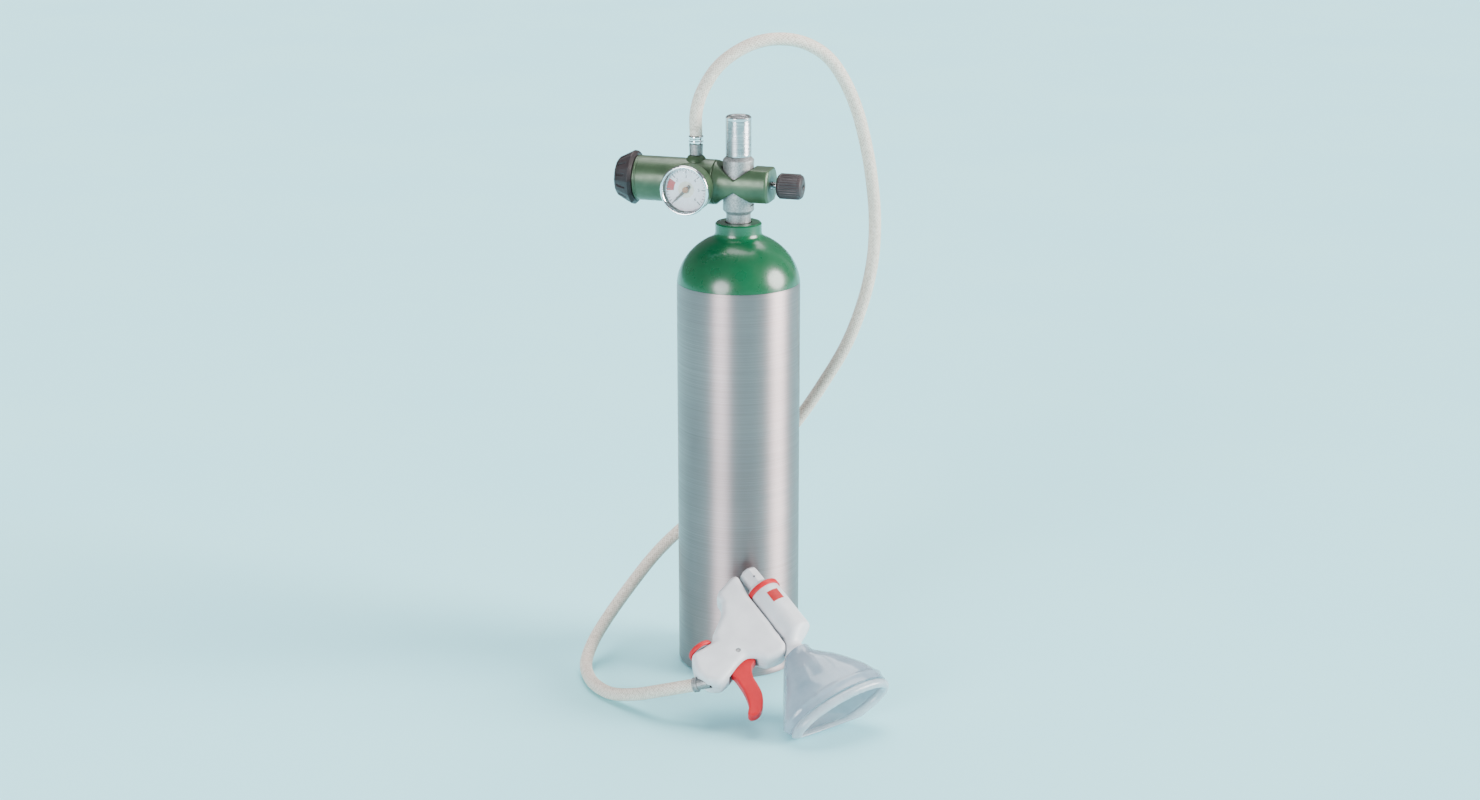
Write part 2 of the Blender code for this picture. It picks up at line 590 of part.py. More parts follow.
def build_hand_barrel(frame):
    """The barrel that feeds the mask, with its cap, relief valve and ring."""
    rings = [ring_points(-7.5, 0, 9.6), ring_points(-4.0, 0, 14.0), ring_points(-2.9, 0, HAND_BARREL_R)]
    rings += [ring_points(52.0, 0, HAND_BARREL_R), ring_points(56.5, 5.0, 12.6)]
    rings += [ring_points(61.5, 10.6, 9.2)]
    rings += [ring_points(64.5, OUTLET_OFFSET, 9.2), ring_points(68.3, OUTLET_OFFSET, 10.6)]
    rings += [ring_points(69.0, OUTLET_OFFSET, 10.6), ring_points(69.1, OUTLET_OFFSET, 8.4)]
    rings += [ring_points(79.0, OUTLET_OFFSET, 8.2)]
    barrel = loft("hand_barrel", rings, WHITE_PLASTIC, frame)
    rings = [ring_points(-3.8, 0, 11.5), ring_points(49.0, 0, 11.5), ring_points(61.0, OUTLET_OFFSET, 6.6)]
    rings += [ring_points(90.0, OUTLET_OFFSET, 6.6)]
    cut(barrel, loft("hand_barrel_bore", rings, None, frame))
    drill(barrel, 3.2, (-12, 0, 0), (0, 0, 0), 16, frame)
    along = {"at": (0, 0, 0), "axis": (1, 0, 0), "parent": frame}
    profile = [(0, -22.5), (4.8, -22.5), (4.8, -7.8), (8.8, -7.8), (8.8, -24.6), (6.6, -26.6), (0, -26.6)]
    cap = turned("barrel_cap", profile, WHITE_PLASTIC, steps=8, **along)
    drill(cap, 1.2, (-15, 0, -14), (-15, 0, 14), 10, frame)
    rod("relief_disc", 4.3, -9.4, -7.8, SILICONE, steps=16, **along)
    coil("relief_spring", 3.3, 0.45, -22.0, -9.7, 4, STEEL, **along)
    sleeve("barrel_ring", 16.2, HAND_BARREL_R + GAP, -2.4, 2.4, RED_PLASTIC, 0.4, steps=20, **along)


def build_valve_works(frame):
    """The trigger, and the demand valve that it opens."""
    pivot_s, pivot_t = TRIGGER_PIVOT
    outline = [(55.5, 46.2), (60.5, 53.0), (68.3, 57.3), (77.4, 58.4), (86.1, 60.0), (93.5, 63.5),
               (99.7, 68.5), (103.0, 74.4), (102.0, 81.3), (97.6, 82.3), (90.6, 76.6), (79.1, 73.0),
               (69.5, 71.9), (61.2, 71.6), (55.0, 72.0), (50.0, 65.5), (43.0, 62.0), (33.0, 56.0),
               (22.5, 52.5), (21.5, 48.7), (33.0, 48.7), (43.0, 49.5)]
    outline.reverse()
    trigger = slab("trigger", outline, -TRIGGER_HALF, TRIGGER_HALF, RED_PLASTIC, frame, bevel=1.4)
    drill(trigger, 2.3, (pivot_s, pivot_t, -14), (pivot_s, pivot_t, 14), 12, frame)
    on_pin = {"at": (pivot_s, pivot_t, 0), "parent": frame}
    rod("trigger_pin", 2.0, -11.1, 11.1, STEEL, 0.3, steps=12, **on_pin)
    coil("trigger_spring", 3.1, 0.45, 5.5, 8.6, 2.5, STEEL, **on_pin)
    down = {"at": (24, 0, 0), "axis": (0, 1, 0), "parent": frame}
    sleeve("demand_valve_body", 6.4, 3.4, 18.5, 39.0, BRASS, 0.4, steps=20, **down)
    profile = [(0, 48.1), (1.9, 48.1), (1.9, 46.2), (1.3, 46.2), (1.3, 32.0), (3.0, 32.0),
               (3.0, 29.0), (0, 29.0)]
    turned("demand_valve_stem", profile, STEEL, steps=12, **down)


def build_grip_end(frame, axis):
    """The exhaust cover on the handle's back, and the hose fitting at its end."""
    back = {"at": (0, 80, 0), "axis": (1, 0, 0), "parent": frame}
    sleeve("cover_ring", 12.0, 10.1, 17.8, 21.7, RED_PLASTIC, 0.5, steps=20, **back)
    cover = rod("exhaust_cover", 9.8, 17.2, 20.4, WHITE_PLASTIC, 0.6, steps=20, **back)
    for i in range(6):
        angle = math.pi * i / 3
        t, z = 80 + 5.5 * math.cos(angle), 5.5 * math.sin(angle)
        drill(cover, 1.4, (10, t, z), (26, t, z), 8, frame, "MANIFOLD")
    rod("diaphragm", 9.6, 21.2, 22.2, SILICONE, steps=20, **back)
    profile = [(6.2, 8.7), (6.6, 8.3), (6.6, 4.5), (4.9, 4.3), (4.9, -7.0), (1.8, -7.0), (1.8, 8.7)]
    turned("grip_hose_fitting", profile, CAST_METAL, at=GRIP_FITTING_AT, axis=axis, steps=20, parent=frame)


def build_hose(frame, axis):
    """The free hose, from the regulator's ferrule, behind the cylinder, to the handpiece."""
    end = handpiece_matrix() @ ((Vector(GRIP_FITTING_AT) + 9.0 * axis) * MM) / MM
    ahead = handpiece_matrix().to_3x3() @ axis
    route = [Vector(p) for p in HOSE_ROUTE] + [end + 28 * ahead, end]
    tube("hose", smooth_line(route, HOSE_STEP), HOSE_R, HOSE_CREAM, sides=2)


# Mask sections: how far along the barrel's axis, and how far they reach to the chin, the nose and
# each cheek.
MASK_SECTIONS = [
    (69.6, 13.0, 13.0, 13.0),
    (76.0, 18.5, 14.0, 14.0),
    (83.0, 23.5, 20.5, 17.0),
    (92.0, 30.0, 29.5, 20.5),
    (102.0, 37.0, 37.0, 23.5),
    (113.0, 44.5, 44.0, 26.5),
    (125.0, 51.5, 48.5, 28.0),
    (134.5, 52.5, 49.5, 28.5),
]
CUSHION_R = 4.2
CUSHION_AT = 139.0
MASK_WALL = 1.6
FLOOR_CLEARANCE = 0.4
SQUASH_FROM = 8.0  # the soft rim flattens below this height above the floor
SQUASH_DEEPEST = -12.5


def mask_section(s, chin, nose, cheek, count=24):
    """An egg-shaped section, wide at the chin and narrower at the nose."""
    points = []
    for i in range(count):
        angle = 2 * math.pi * i / count
        reach = chin if math.cos(angle) > 0 else nose
        narrow = 1 + 0.14 * math.cos(angle) * min(1.0, (s - 69) / 40)
        points.append((s, OUTLET_OFFSET + reach * math.cos(angle), cheek * narrow * math.sin(angle)))
    return points


def rest_on_floor(obj, frame_matrix):
    """Flattens the soft rim where it presses on what the part stands on."""
    back = frame_matrix.inverted()
    share = (SQUASH_FROM - FLOOR_CLEARANCE) / (SQUASH_FROM - SQUASH_DEEPEST)
    for vertex in obj.data.vertices:
        place = frame_matrix @ vertex.co
        if place.z < SQUASH_FROM * MM:
            place.z = (FLOOR_CLEARANCE + (place.z / MM - SQUASH_DEEPEST) * share) * MM
            vertex.co = back @ place


def build_mask(frame):
    """The face mask: a collar on the barrel's outlet, a clear dome and a soft rim."""
    place = handpiece_matrix()
    on_outlet = {"at": (0, OUTLET_OFFSET, 0), "axis": (1, 0, 0), "parent": frame}
    sleeve("mask_collar", 11.0, 8.8, 69.4, 80.0, MASK_CLEAR, 0.4, steps=20, **on_outlet)
    dome = loft("mask_dome", [mask_section(*row) for row in MASK_SECTIONS], MASK_CLEAR, frame, caps=False)
    rest_on_floor(dome, place)
    wall = dome.modifiers.new("wall", "SOLIDIFY")
    wall.thickness = MASK_WALL * MM
    wall.offset = -1
    rim = mask_section(CUSHION_AT, 48.2, 45.4, 24.2, 30)
    path = curve_of("mask_cushion", rim, True, frame)
    path.data.bevel_depth = CUSHION_R * MM
    path.data.bevel_resolution = 2
    cushion = as_mesh(path, SILICONE)
    rest_on_floor(cushion, place)


def build_handpiece():
    frame = bpy.data.objects.new("handpiece_frame", None)
    PARTS.objects.link(frame)
    frame.matrix_world = handpiece_matrix()
    axis = build_grip(frame)
    build_hand_barrel(frame)
    build_valve_works(frame)
    build_grip_end(frame, axis)
    build_mask(frame)
    build_hose(frame, axis)


def shade_round_pieces():
    """Applies each piece's modifiers, and shades it smooth except at its sharp edges."""
    graph = bpy.context.evaluated_depsgraph_get()
    pieces = [piece for piece in PARTS.objects if piece.type == "MESH"]
    shapes = [bpy.data.meshes.new_from_object(piece.evaluated_get(graph)) for piece in pieces]
    for piece, shape in zip(pieces, shapes):
        shape.shade_smooth()
        shape.set_sharp_from_angle(angle=math.radians(35))
        piece.modifiers.clear()
        piece.data = shape


build_cylinder()
build_valve()
build_yoke()
build_regulator()
build_gauge()
build_handpiece()
shade_round_pieces()
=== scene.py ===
"""The looks of a portable oxygen set: a cylinder, its post valve and regulator, a hose, and a
hand-triggered breathing valve with a clear mask. Local sizes are millimetres, and MM makes metres."""

import json
import math

import bmesh
import bpy
from mathutils import Matrix, Vector


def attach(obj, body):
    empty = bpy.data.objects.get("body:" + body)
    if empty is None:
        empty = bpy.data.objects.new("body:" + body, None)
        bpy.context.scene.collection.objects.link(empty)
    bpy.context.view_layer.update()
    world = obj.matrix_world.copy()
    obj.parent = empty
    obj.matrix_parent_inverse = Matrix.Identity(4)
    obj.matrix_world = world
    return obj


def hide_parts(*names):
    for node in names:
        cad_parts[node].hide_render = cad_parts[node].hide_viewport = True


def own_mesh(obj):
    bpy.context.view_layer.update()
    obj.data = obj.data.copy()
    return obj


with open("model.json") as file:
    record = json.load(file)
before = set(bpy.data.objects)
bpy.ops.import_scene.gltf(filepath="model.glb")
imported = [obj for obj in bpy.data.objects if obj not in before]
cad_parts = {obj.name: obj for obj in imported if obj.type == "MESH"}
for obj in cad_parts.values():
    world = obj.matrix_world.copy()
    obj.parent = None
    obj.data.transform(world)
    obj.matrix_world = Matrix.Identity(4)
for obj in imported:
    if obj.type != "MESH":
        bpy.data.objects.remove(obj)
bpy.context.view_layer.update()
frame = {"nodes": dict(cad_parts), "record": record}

MM = 0.001
ROOT = "oxygen_set"
JOINTS = {joint["name"]: joint for joint in frame["record"]["behaviour"]["joints"]}

# Heights and radii that several pieces share
CYLINDER_R = 55.65
CYLINDER_H = 417.0
SHOULDER_Z = 358.7
SHOULDER_RISE = 49.3
PAINT_FROM = 363.0
NECK_R = 20.9
BLOCK_LOW, BLOCK_HIGH = 425.0, 477.0
BLOCK_R = 14.0
KNOB_R = 11.5
AXIS_Z = 452.0
BARREL_R = 20.1
YOKE_R = 18.7
OUTLET_X = -39.5
GAUGE_X, GAUGE_Z = -39.0, 450.0
HAND_BARREL_R = 15.0
OUTLET_OFFSET = 11.5
GRIP_HALF = 11.5
TRIGGER_HALF = 5.0
TRIGGER_PIVOT = (43.0, 56.0)
GRIP_FITTING_AT = Vector((48.5, 97.0, 0.0))
GRIP_FITTING_AXIS = Vector((-0.55, 0.75, 0.37)).normalized()
HOSE_R = 5.75
COVER_T = 80.0
# The two index pins sit this far to each side of the post, and this far under its inlet
PIN_SIDE, PIN_DROP = 3.2, 11.0
GAS_BORE = 3.3

# The camera, in metres and degrees. Its bearing is the side that it looks from.
CAMERA_AT = (0.6658, -2.1732, 0.9207)
CAMERA_TILT, CAMERA_TURN = 73.58, 17.0
CAMERA_BEARING = -73
LENS_MM, SENSOR_MM = 63.2, 36.0
FLOOR_HALF = 12.0


def frame_at(at, axis=(0, 0, 1), base=None):
    """A local frame whose Z runs along axis. It turns millimetres into metres, once."""
    turn = Vector((0, 0, 1)).rotation_difference(Vector(axis)).to_matrix().to_4x4()
    local = Matrix.Translation(Vector(at)) @ turn
    return (base or Matrix.Diagonal((MM, MM, MM, 1))) @ local


def handpiece_frame():
    """X along the handpiece's barrel to the mask, Y towards the grip, Z away from the front."""
    along = Vector(JOINTS["mask_swivel"]["axis"])
    grip = -Vector(JOINTS["demand_stem_slide"]["axis"])
    turn = Matrix((along, grip, along.cross(grip))).transposed()
    swivel = Vector(JOINTS["mask_swivel"]["pos_m"])
    origin = swivel - turn @ Vector((74.0, OUTLET_OFFSET, 0)) * MM
    return Matrix.Translation(origin) @ turn.to_4x4() @ Matrix.Diagonal((MM, MM, MM, 1))


UPRIGHT = frame_at((0, 0, 0))
ALONG_X = frame_at((0, 0, AXIS_Z), (1, 0, 0))
OUTLET = frame_at((OUTLET_X, 0, AXIS_Z))
GAUGE = frame_at((GAUGE_X, 0, GAUGE_Z), (0, -1, 0))
HAND = handpiece_frame()
BARREL = frame_at((0, 0, 0), (1, 0, 0), HAND)
MASK_AXIS = frame_at((0, OUTLET_OFFSET, 0), (1, 0, 0), HAND)


# ---- camera, stage and light -------------------------------------------------------------------

def set_camera():
    data = bpy.data.cameras.new("camera")
    data.lens = LENS_MM
    data.sensor_width = SENSOR_MM
    camera = bpy.data.objects.new("camera", data)
    bpy.context.scene.collection.objects.link(camera)
    camera.location = CAMERA_AT
    camera.rotation_euler = (math.radians(CAMERA_TILT), 0, math.radians(CAMERA_TURN))
    bpy.context.scene.camera = camera


def sun_light(name, azimuth, height, power, spread, colour=(1, 1, 1)):
    """A distant soft light. Azimuth is degrees to the right of the camera, seen from the object."""
    data = bpy.data.lights.new(name, "SUN")
    data.energy = power
    data.angle = math.radians(spread)
    data.color = colour
    light = bpy.data.objects.new(name, data)
    bpy.context.scene.collection.objects.link(light)
    turn, lift = math.radians(CAMERA_BEARING + azimuth), math.radians(height)
    out = Vector((math.cos(turn) * math.cos(lift), math.sin(turn) * math.cos(lift), math.sin(lift)))
    light.rotation_euler = out.to_track_quat("Z", "Y").to_euler()


def set_stage():
    mesh = bpy.data.meshes.new("floor")
    half = FLOOR_HALF
    corners = [(-half, -half, 0), (half, -half, 0), (half, half, 0), (-half, half, 0)]
    mesh.from_pydata(corners, [], [(0, 1, 2, 3)])
    floor = bare("floor", mesh)
    paint, tree, shader = new_material("floor_paint", 0.9, 0.0, Specular_IOR_Level=0.1)
    speckle(tree, shader, (0.41, 0.90, 1.0), (0.43, 0.92, 1.0), 3.0)
    mesh.materials.append(paint)
    world = bpy.data.worlds.new("studio")
    world.use_nodes = True
    sky = world.node_tree.nodes["Background"]
    sky.inputs["Color"].default_value = (0.86, 0.92, 0.96, 1)
    sky.inputs["Strength"].default_value = 0.27
    bpy.context.scene.world = world
    sun_light("key", 80, 17, 9.0, 34, (1.0, 0.975, 0.95))
    sun_light("fill", -33, 12, 3.9, 28, (0.97, 0.96, 1.0))
    sun_light("top", 175, 64, 3.9, 50)


# ---- materials ---------------------------------------------------------------------------------

def new_material(name, roughness, metallic, **sockets):
    """A Principled material with its constants set on the shader's own sockets."""
    made = bpy.data.materials.new(name)
    made.use_nodes = True
    tree = made.node_tree
    shader = tree.nodes["Principled BSDF"]
    shader.inputs["Roughness"].default_value = roughness
    shader.inputs["Metallic"].default_value = metallic
    for socket, value in sockets.items():
        shader.inputs[socket.replace("_", " ")].default_value = value
    return made, tree, shader


def noise(tree, scale, detail=4.0, stretch=(1, 1, 1)):
    """Noise in the piece's own coordinates, in metres. Its output is the factor."""
    place = tree.nodes.new("ShaderNodeTexCoord")
    mapping = tree.nodes.new("ShaderNodeMapping")
    mapping.inputs["Scale"].default_value = stretch
    made = tree.nodes.new("ShaderNodeTexNoise")
    made.inputs["Scale"].default_value = scale
    made.inputs["Detail"].default_value = detail
    tree.links.new(place.outputs["Object"], mapping.inputs["Vector"])
    tree.links.new(mapping.outputs["Vector"], made.inputs["Vector"])
    return made.outputs["Fac"]


def ramp(tree, factor, stops):
    """Colours or grey values along a factor. Each stop is a position and a colour."""
    made = tree.nodes.new("ShaderNodeValToRGB")
    elements = made.color_ramp.elements
    while len(elements) < len(stops):
        elements.new(0.5)
    for element, (position, colour) in zip(elements, stops):
        element.position = position
        element.color = (*colour, 1.0)
    tree.links.new(factor, made.inputs["Fac"])
    return made.outputs["Color"]


def speckle(tree, shader, dark, light, scale, stretch=(1, 1, 1), detail=4.0, worn=None):
    """Colour that drifts between two tones, with a third in small scuffs where a piece is worn."""
    tone = noise(tree, scale, detail, stretch)
    stops = [(0.35, dark), (0.62, light)]
    if worn:
        stops += [(0.69, light), (0.73, worn)]
    tree.links.new(ramp(tree, tone, stops), shader.inputs["Base Color"])


def vary_roughness(tree, shader, low, high, scale, stretch=(1, 1, 1)):
    change = tree.nodes.new("ShaderNodeMapRange")
    change.inputs["From Min"].default_value = 0.3
    change.inputs["From Max"].default_value = 0.7
    change.inputs["To Min"].default_value = low
    change.inputs["To Max"].default_value = high
    tree.links.new(noise(tree, scale, 5.0, stretch), change.inputs["Value"])
    tree.links.new(change.outputs["Result"], shader.inputs["Roughness"])


def bump(tree, shader, height, strength, distance):
    """Relief, with distance in millimetres."""
    made = tree.nodes.new("ShaderNodeBump")
    made.inputs["Strength"].default_value = strength
    made.inputs["Distance"].default_value = distance * MM
    tree.links.new(height, made.inputs["Height"])
    tree.links.new(made.outputs["Normal"], shader.inputs["Normal"])


def maths(tree, operation, first, second=None):
    made = tree.nodes.new("ShaderNodeMath")
    made.operation = operation
    for socket, value in zip(made.inputs, (first, second)):
        if isinstance(value, (int, float)):
            socket.default_value = value
        elif value is not None:
            tree.links.new(value, socket)
    return made.outputs["Value"]


def brushed_aluminium():
    """Turned on a lathe: fine lines run round the cylinder, broken by soft blotches."""
    made, tree, shader = new_material("brushed_aluminium", 0.40, 1.0, Anisotropic=0.8,
                                      Anisotropic_Rotation=0.25)
    lines = noise(tree, 1.0, 6.0, (5, 5, 1500))
    cloud = noise(tree, 11.0, 3.0, (1, 1, 0.6))
    tone = maths(tree, "ADD", maths(tree, "MULTIPLY", lines, 0.5), maths(tree, "MULTIPLY", cloud, 0.5))
    shades = [(0.35, (0.31, 0.235, 0.235)), (0.5, (0.37, 0.285, 0.285)), (0.65, (0.44, 0.345, 0.345))]
    tree.links.new(ramp(tree, tone, shades), shader.inputs["Base Color"])
    vary_roughness(tree, shader, 0.38, 0.50, 1.0, (5, 5, 900))
    bump(tree, shader, lines, 0.25, 0.06)
    around = tree.nodes.new("ShaderNodeTangent")
    around.direction_type = "RADIAL"
    around.axis = "Z"
    tree.links.new(around.outputs["Tangent"], shader.inputs["Tangent"])
    return made


def bright_steel():
    made, tree, shader = new_material("bright_steel", 0.2, 1.0)
    speckle(tree, shader, (0.42, 0.42, 0.44), (0.68, 0.68, 0.70), 1.0, (60, 60, 1800))
    vary_roughness(tree, shader, 0.18, 0.34, 60)
    bump(tree, shader, noise(tree, 1.0, 4.0, (60, 60, 1800)), 0.3, 0.06)
    return made


def cast_metal():
    """Sand-cast zinc grey, with a fine grain and a few darker pores."""
    made, tree, shader = new_material("cast_metal", 0.5, 0.75)
    speckle(tree, shader, (0.20, 0.21, 0.21), (0.36, 0.37, 0.37), 900, detail=6.0)
    vary_roughness(tree, shader, 0.42, 0.62, 300)
    grain = maths(tree, "ADD", noise(tree, 1400, 6.0), noise(tree, 350, 3.0))
    bump(tree, shader, grain, 0.5, 0.12)
    return made


def chrome():
    made, tree, shader = new_material("chrome", 0.08, 1.0)
    speckle(tree, shader, (0.78, 0.79, 0.81), (0.86, 0.87, 0.89), 120)
    vary_roughness(tree, shader, 0.05, 0.14, 200)
    return made


def plain_metal(name, dark, light, roughness):
    made, tree, shader = new_material(name, roughness, 1.0)
    speckle(tree, shader, dark, light, 250)
    vary_roughness(tree, shader, roughness - 0.08, roughness + 0.1, 400)
    bump(tree, shader, noise(tree, 1200, 3.0), 0.15, 0.03)
    return made


def green_anodised():
    """Olive anodised aluminium, satin, slightly lighter where it has been handled."""
    made, tree, shader = new_material("green_anodised", 0.4, 0.35, Coat_Weight=0.15, Coat_Roughness=0.3)
    speckle(tree, shader, (0.036, 0.072, 0.034), (0.056, 0.098, 0.050), 70, detail=9.0,
            worn=(0.12, 0.16, 0.11))
    vary_roughness(tree, shader, 0.34, 0.48, 160)
    bump(tree, shader, noise(tree, 1800, 2.0), 0.12, 0.03)
    return made


def green_paint():
    """Glossy enamel on the cylinder's shoulder, with a faint orange peel."""
    made, tree, shader = new_material("green_paint", 0.25, 0.0, Coat_Weight=0.35, Coat_Roughness=0.15)
    speckle(tree, shader, (0.002, 0.072, 0.026), (0.003, 0.090, 0.034), 22, detail=9.0,
            worn=(0.02, 0.16, 0.07))
    vary_roughness(tree, shader, 0.24, 0.34, 60)
    bump(tree, shader, noise(tree, 420, 2.0), 0.10, 0.05)
    return made


def plastic(name, dark, light, roughness, grain=1500, relief=0.12, **sockets):
    """Moulded plastic with a fine texture in its surface."""
    made, tree, shader = new_material(name, roughness, 0.0, **sockets)
    speckle(tree, shader, dark, light, 60)
    vary_roughness(tree, shader, roughness - 0.07, roughness + 0.09, 220)
    bump(tree, shader, noise(tree, grain, 3.0), relief, 0.05)
    return made


def hose_braid():
    """Two crossing spirals of yarn under a matt skin. U turns once round the hose and V is metres."""
    made, tree, shader = new_material("hose_braid", 0.55, 0.0, Sheen_Weight=0.2, Sheen_Roughness=0.5)
    place = tree.nodes.new("ShaderNodeTexCoord")
    parts = tree.nodes.new("ShaderNodeSeparateXYZ")
    tree.links.new(place.outputs["UV"], parts.inputs["Vector"])
    strands, lay_length, loose = 14, 0.026, 1.6
    around = maths(tree, "MULTIPLY", parts.outputs["X"], 2 * math.pi * strands)
    along = maths(tree, "MULTIPLY", parts.outputs["Y"], 2 * math.pi * strands / lay_length / loose)
    first = maths(tree, "SINE", maths(tree, "ADD", around, along))
    second = maths(tree, "SINE", maths(tree, "SUBTRACT", around, along))
    weave = maths(tree, "MAXIMUM", first, second)
    tone = maths(tree, "ADD", maths(tree, "MULTIPLY", weave, 0.16), noise(tree, 500, 5.0))
    shades = [(0.3, (0.40, 0.33, 0.26)), (0.55, (0.66, 0.57, 0.48)), (0.8, (0.80, 0.72, 0.63))]
    tree.links.new(ramp(tree, tone, shades), shader.inputs["Base Color"])
    vary_roughness(tree, shader, 0.45, 0.65, 300)
    bump(tree, shader, weave, 0.45, 0.16)
    return made


def mask_clear():
    """Smoky clear vinyl with a soft bloom, glossy on top."""
    made, tree, shader = new_material("mask_clear", 0.16, 0.0, Alpha=0.58, IOR=1.46, Coat_Weight=0.7,
                                      Coat_Roughness=0.05)
    speckle(tree, shader, (0.26, 0.35, 0.43), (0.36, 0.45, 0.53), 40)
    vary_roughness(tree, shader, 0.10, 0.26, 120)
    bump(tree, shader, noise(tree, 120, 3.0), 0.12, 0.15)
    return made


def lens_glass():
    made, tree, shader = new_material("lens_glass", 0.04, 0.0, Alpha=0.05, IOR=1.5)
    speckle(tree, shader, (0.92, 0.95, 1.0), (0.97, 0.99, 1.0), 30)
    return made


def flat_ink(name, dark, light):
    made, tree, shader = new_material(name, 0.55, 0.0)
    speckle(tree, shader, dark, light, 400)
    bump(tree, shader, noise(tree, 900, 2.0), 0.08, 0.02)
    return made


LOOKS = {
    "brushed_aluminium": brushed_aluminium(),
    "cast_metal": cast_metal(),
    "chrome": chrome(),
    "steel": plain_metal("plain_steel", (0.40, 0.41, 0.42), (0.52, 0.53, 0.54), 0.32),
    "brass": plain_metal("plain_brass", (0.50, 0.36, 0.15), (0.62, 0.46, 0.22), 0.3),
    "green_anodised": green_anodised(),
    "dark_plastic": plastic("dark_plastic", (0.022, 0.015, 0.017), (0.040, 0.029, 0.031), 0.46, 900, 0.25,
                            Specular_IOR_Level=0.35),
    "black_rubber": plastic("black_rubber", (0.015, 0.015, 0.015), (0.03, 0.03, 0.03), 0.7),
    "dial_white": flat_ink("dial_white", (0.70, 0.70, 0.76), (0.76, 0.76, 0.82)),
    "pointer_dark": flat_ink("pointer_dark", (0.05, 0.03, 0.02), (0.08, 0.05, 0.03)),
    "lens": lens_glass(),
    "hose_cream": hose_braid(),
    "white_plastic": plastic("white_plastic", (0.60, 0.61, 0.64), (0.68, 0.69, 0.72), 0.4, 1100, 0.2),
    "red_plastic": plastic("red_plastic", (0.48, 0.006, 0.014), (0.56, 0.008, 0.018), 0.42,
                           Specular_IOR_Level=0.35),
    "silicone": plastic("silicone", (0.38, 0.47, 0.53), (0.47, 0.55, 0.61), 0.25, 700, 0.12,
                        Alpha=0.66, Coat_Weight=0.5, Coat_Roughness=0.1),
    "mask_clear": mask_clear(),
}
GREEN_PAINT = green_paint()
BRIGHT_STEEL = bright_steel()
INK = flat_ink("dial_ink", (0.05, 0.05, 0.06), (0.09, 0.09, 0.10))
RED_INK = flat_ink("red_ink", (0.38, 0.004, 0.008), (0.46, 0.006, 0.012))
HUB_BROWN = flat_ink("hub_brown", (0.28, 0.11, 0.04), (0.36, 0.15, 0.06))
PALE_DISC = flat_ink("pale_disc", (0.62, 0.58, 0.50), (0.70, 0.66, 0.58))


# ---- mesh helpers ------------------------------------------------------------------------------

def bare(name, mesh):
    made = bpy.data.objects.new(name, mesh)
    bpy.context.scene.collection.objects.link(made)
    return made


def skin(name, rings, place, stations=None, closed=False):
    """A skin over rings of points. A ring of one point is a tip. UV: one turn, and metres along."""
    mesh = bpy.data.meshes.new(name)
    shape = bmesh.new()
    layer = shape.loops.layers.uv.new("UVMap")
    rows = [[shape.verts.new(place @ Vector(p)) for p in ring] for ring in rings]
    if stations is None:
        stations = [0.0]
        for a, b in zip(rows, rows[1:]):
            stations.append(stations[-1] + (b[0].co - a[0].co).length)
    pairs = list(zip(range(len(rows)), range(1, len(rows))))
    if closed:
        pairs.append((len(rows) - 1, 0))
    for i, k in pairs:
        a, b = rows[i], rows[k]
        count = max(len(a), len(b))
        far = stations[k] if k else stations[-1] + (rows[0][0].co - rows[-1][0].co).length
        for j in range(count):
            n = (j + 1) % count
            ends = [(a[j % len(a)], j, stations[i]), (a[n % len(a)], j + 1, stations[i]),
                    (b[n % len(b)], j + 1, far), (b[j % len(b)], j, far)]
            corners = [ends[0]]
            for corner in ends[1:]:
                if corner[0] not in [c[0] for c in corners]:
                    corners.append(corner)
            if len(corners) < 3:
                continue
            face = shape.faces.new([c[0] for c in corners])
            for loop, corner in zip(face.loops, corners):
                loop[layer].uv = (corner[1] / count, corner[2])
    if not closed:
        for row in (rows[0], rows[-1]):
            if len(row) > 2:
                shape.faces.new(row)
    bmesh.ops.recalc_face_normals(shape, faces=shape.faces)
    shape.to_mesh(mesh)
    shape.free()
    return bare(name, mesh)


def fillet(points, radius, steps=3):
    """The outline with its inner corners rounded."""
    line = [points[0]]
    for before, corner, after in zip(points, points[1:], points[2:]):
        p, a, b = Vector(corner), Vector(before), Vector(after)
        reach = min(radius, 0.45 * (p - a).length, 0.45 * (b - p).length)
        start, end = p + (a - p).normalized() * reach, p + (b - p).normalized() * reach
        for i in range(steps + 1):
            t = i / steps
            line.append(tuple((1 - t) ** 2 * start + 2 * t * (1 - t) * p + t * t * end))
    line.append(points[-1])
    return line


def turned(name, profile, place, segments=96, soft=0.4, shape=None):
    """A turned piece from a (radius, height) profile. shape changes the radius round the piece."""
    closed = profile[0][0] > 0 and profile[-1][0] > 0
    outline = fillet(profile, soft) if soft else profile
    rings = []
    for radius, height in outline:
        if radius <= 0:
            rings.append([(0, 0, height)])
            continue
        ring = []
        for j in range(segments):
            angle = 2 * math.pi * j / segments
            reach = shape(angle, height, radius) if shape else radius
            ring.append((reach * math.cos(angle), reach * math.sin(angle), height))
        rings.append(ring)
    return skin(name, rings, place, closed=closed)


def faceted(angle, sides, reach=1.0):
    """The distance to a polygon's side. Its corners are at reach."""
    return reach * math.cos(math.pi / sides) / math.cos((angle % (2 * math.pi / sides)) - math.pi / sides)


def bake(piece):
    """Applies a piece's modifiers."""
    graph = bpy.context.evaluated_depsgraph_get()
    mesh = bpy.data.meshes.new_from_object(piece.evaluated_get(graph))
    piece.modifiers.clear()
    piece.data = mesh
    return piece


def carve(piece, cutters, operation="DIFFERENCE", solver="MANIFOLD"):
    for cutter in cutters:
        made = piece.modifiers.new("carve", "BOOLEAN")
        made.operation = operation
        made.solver = solver
        made.object = cutter
    bake(piece)
    for cutter in cutters:
        bpy.data.objects.remove(cutter, do_unlink=True)
    return piece


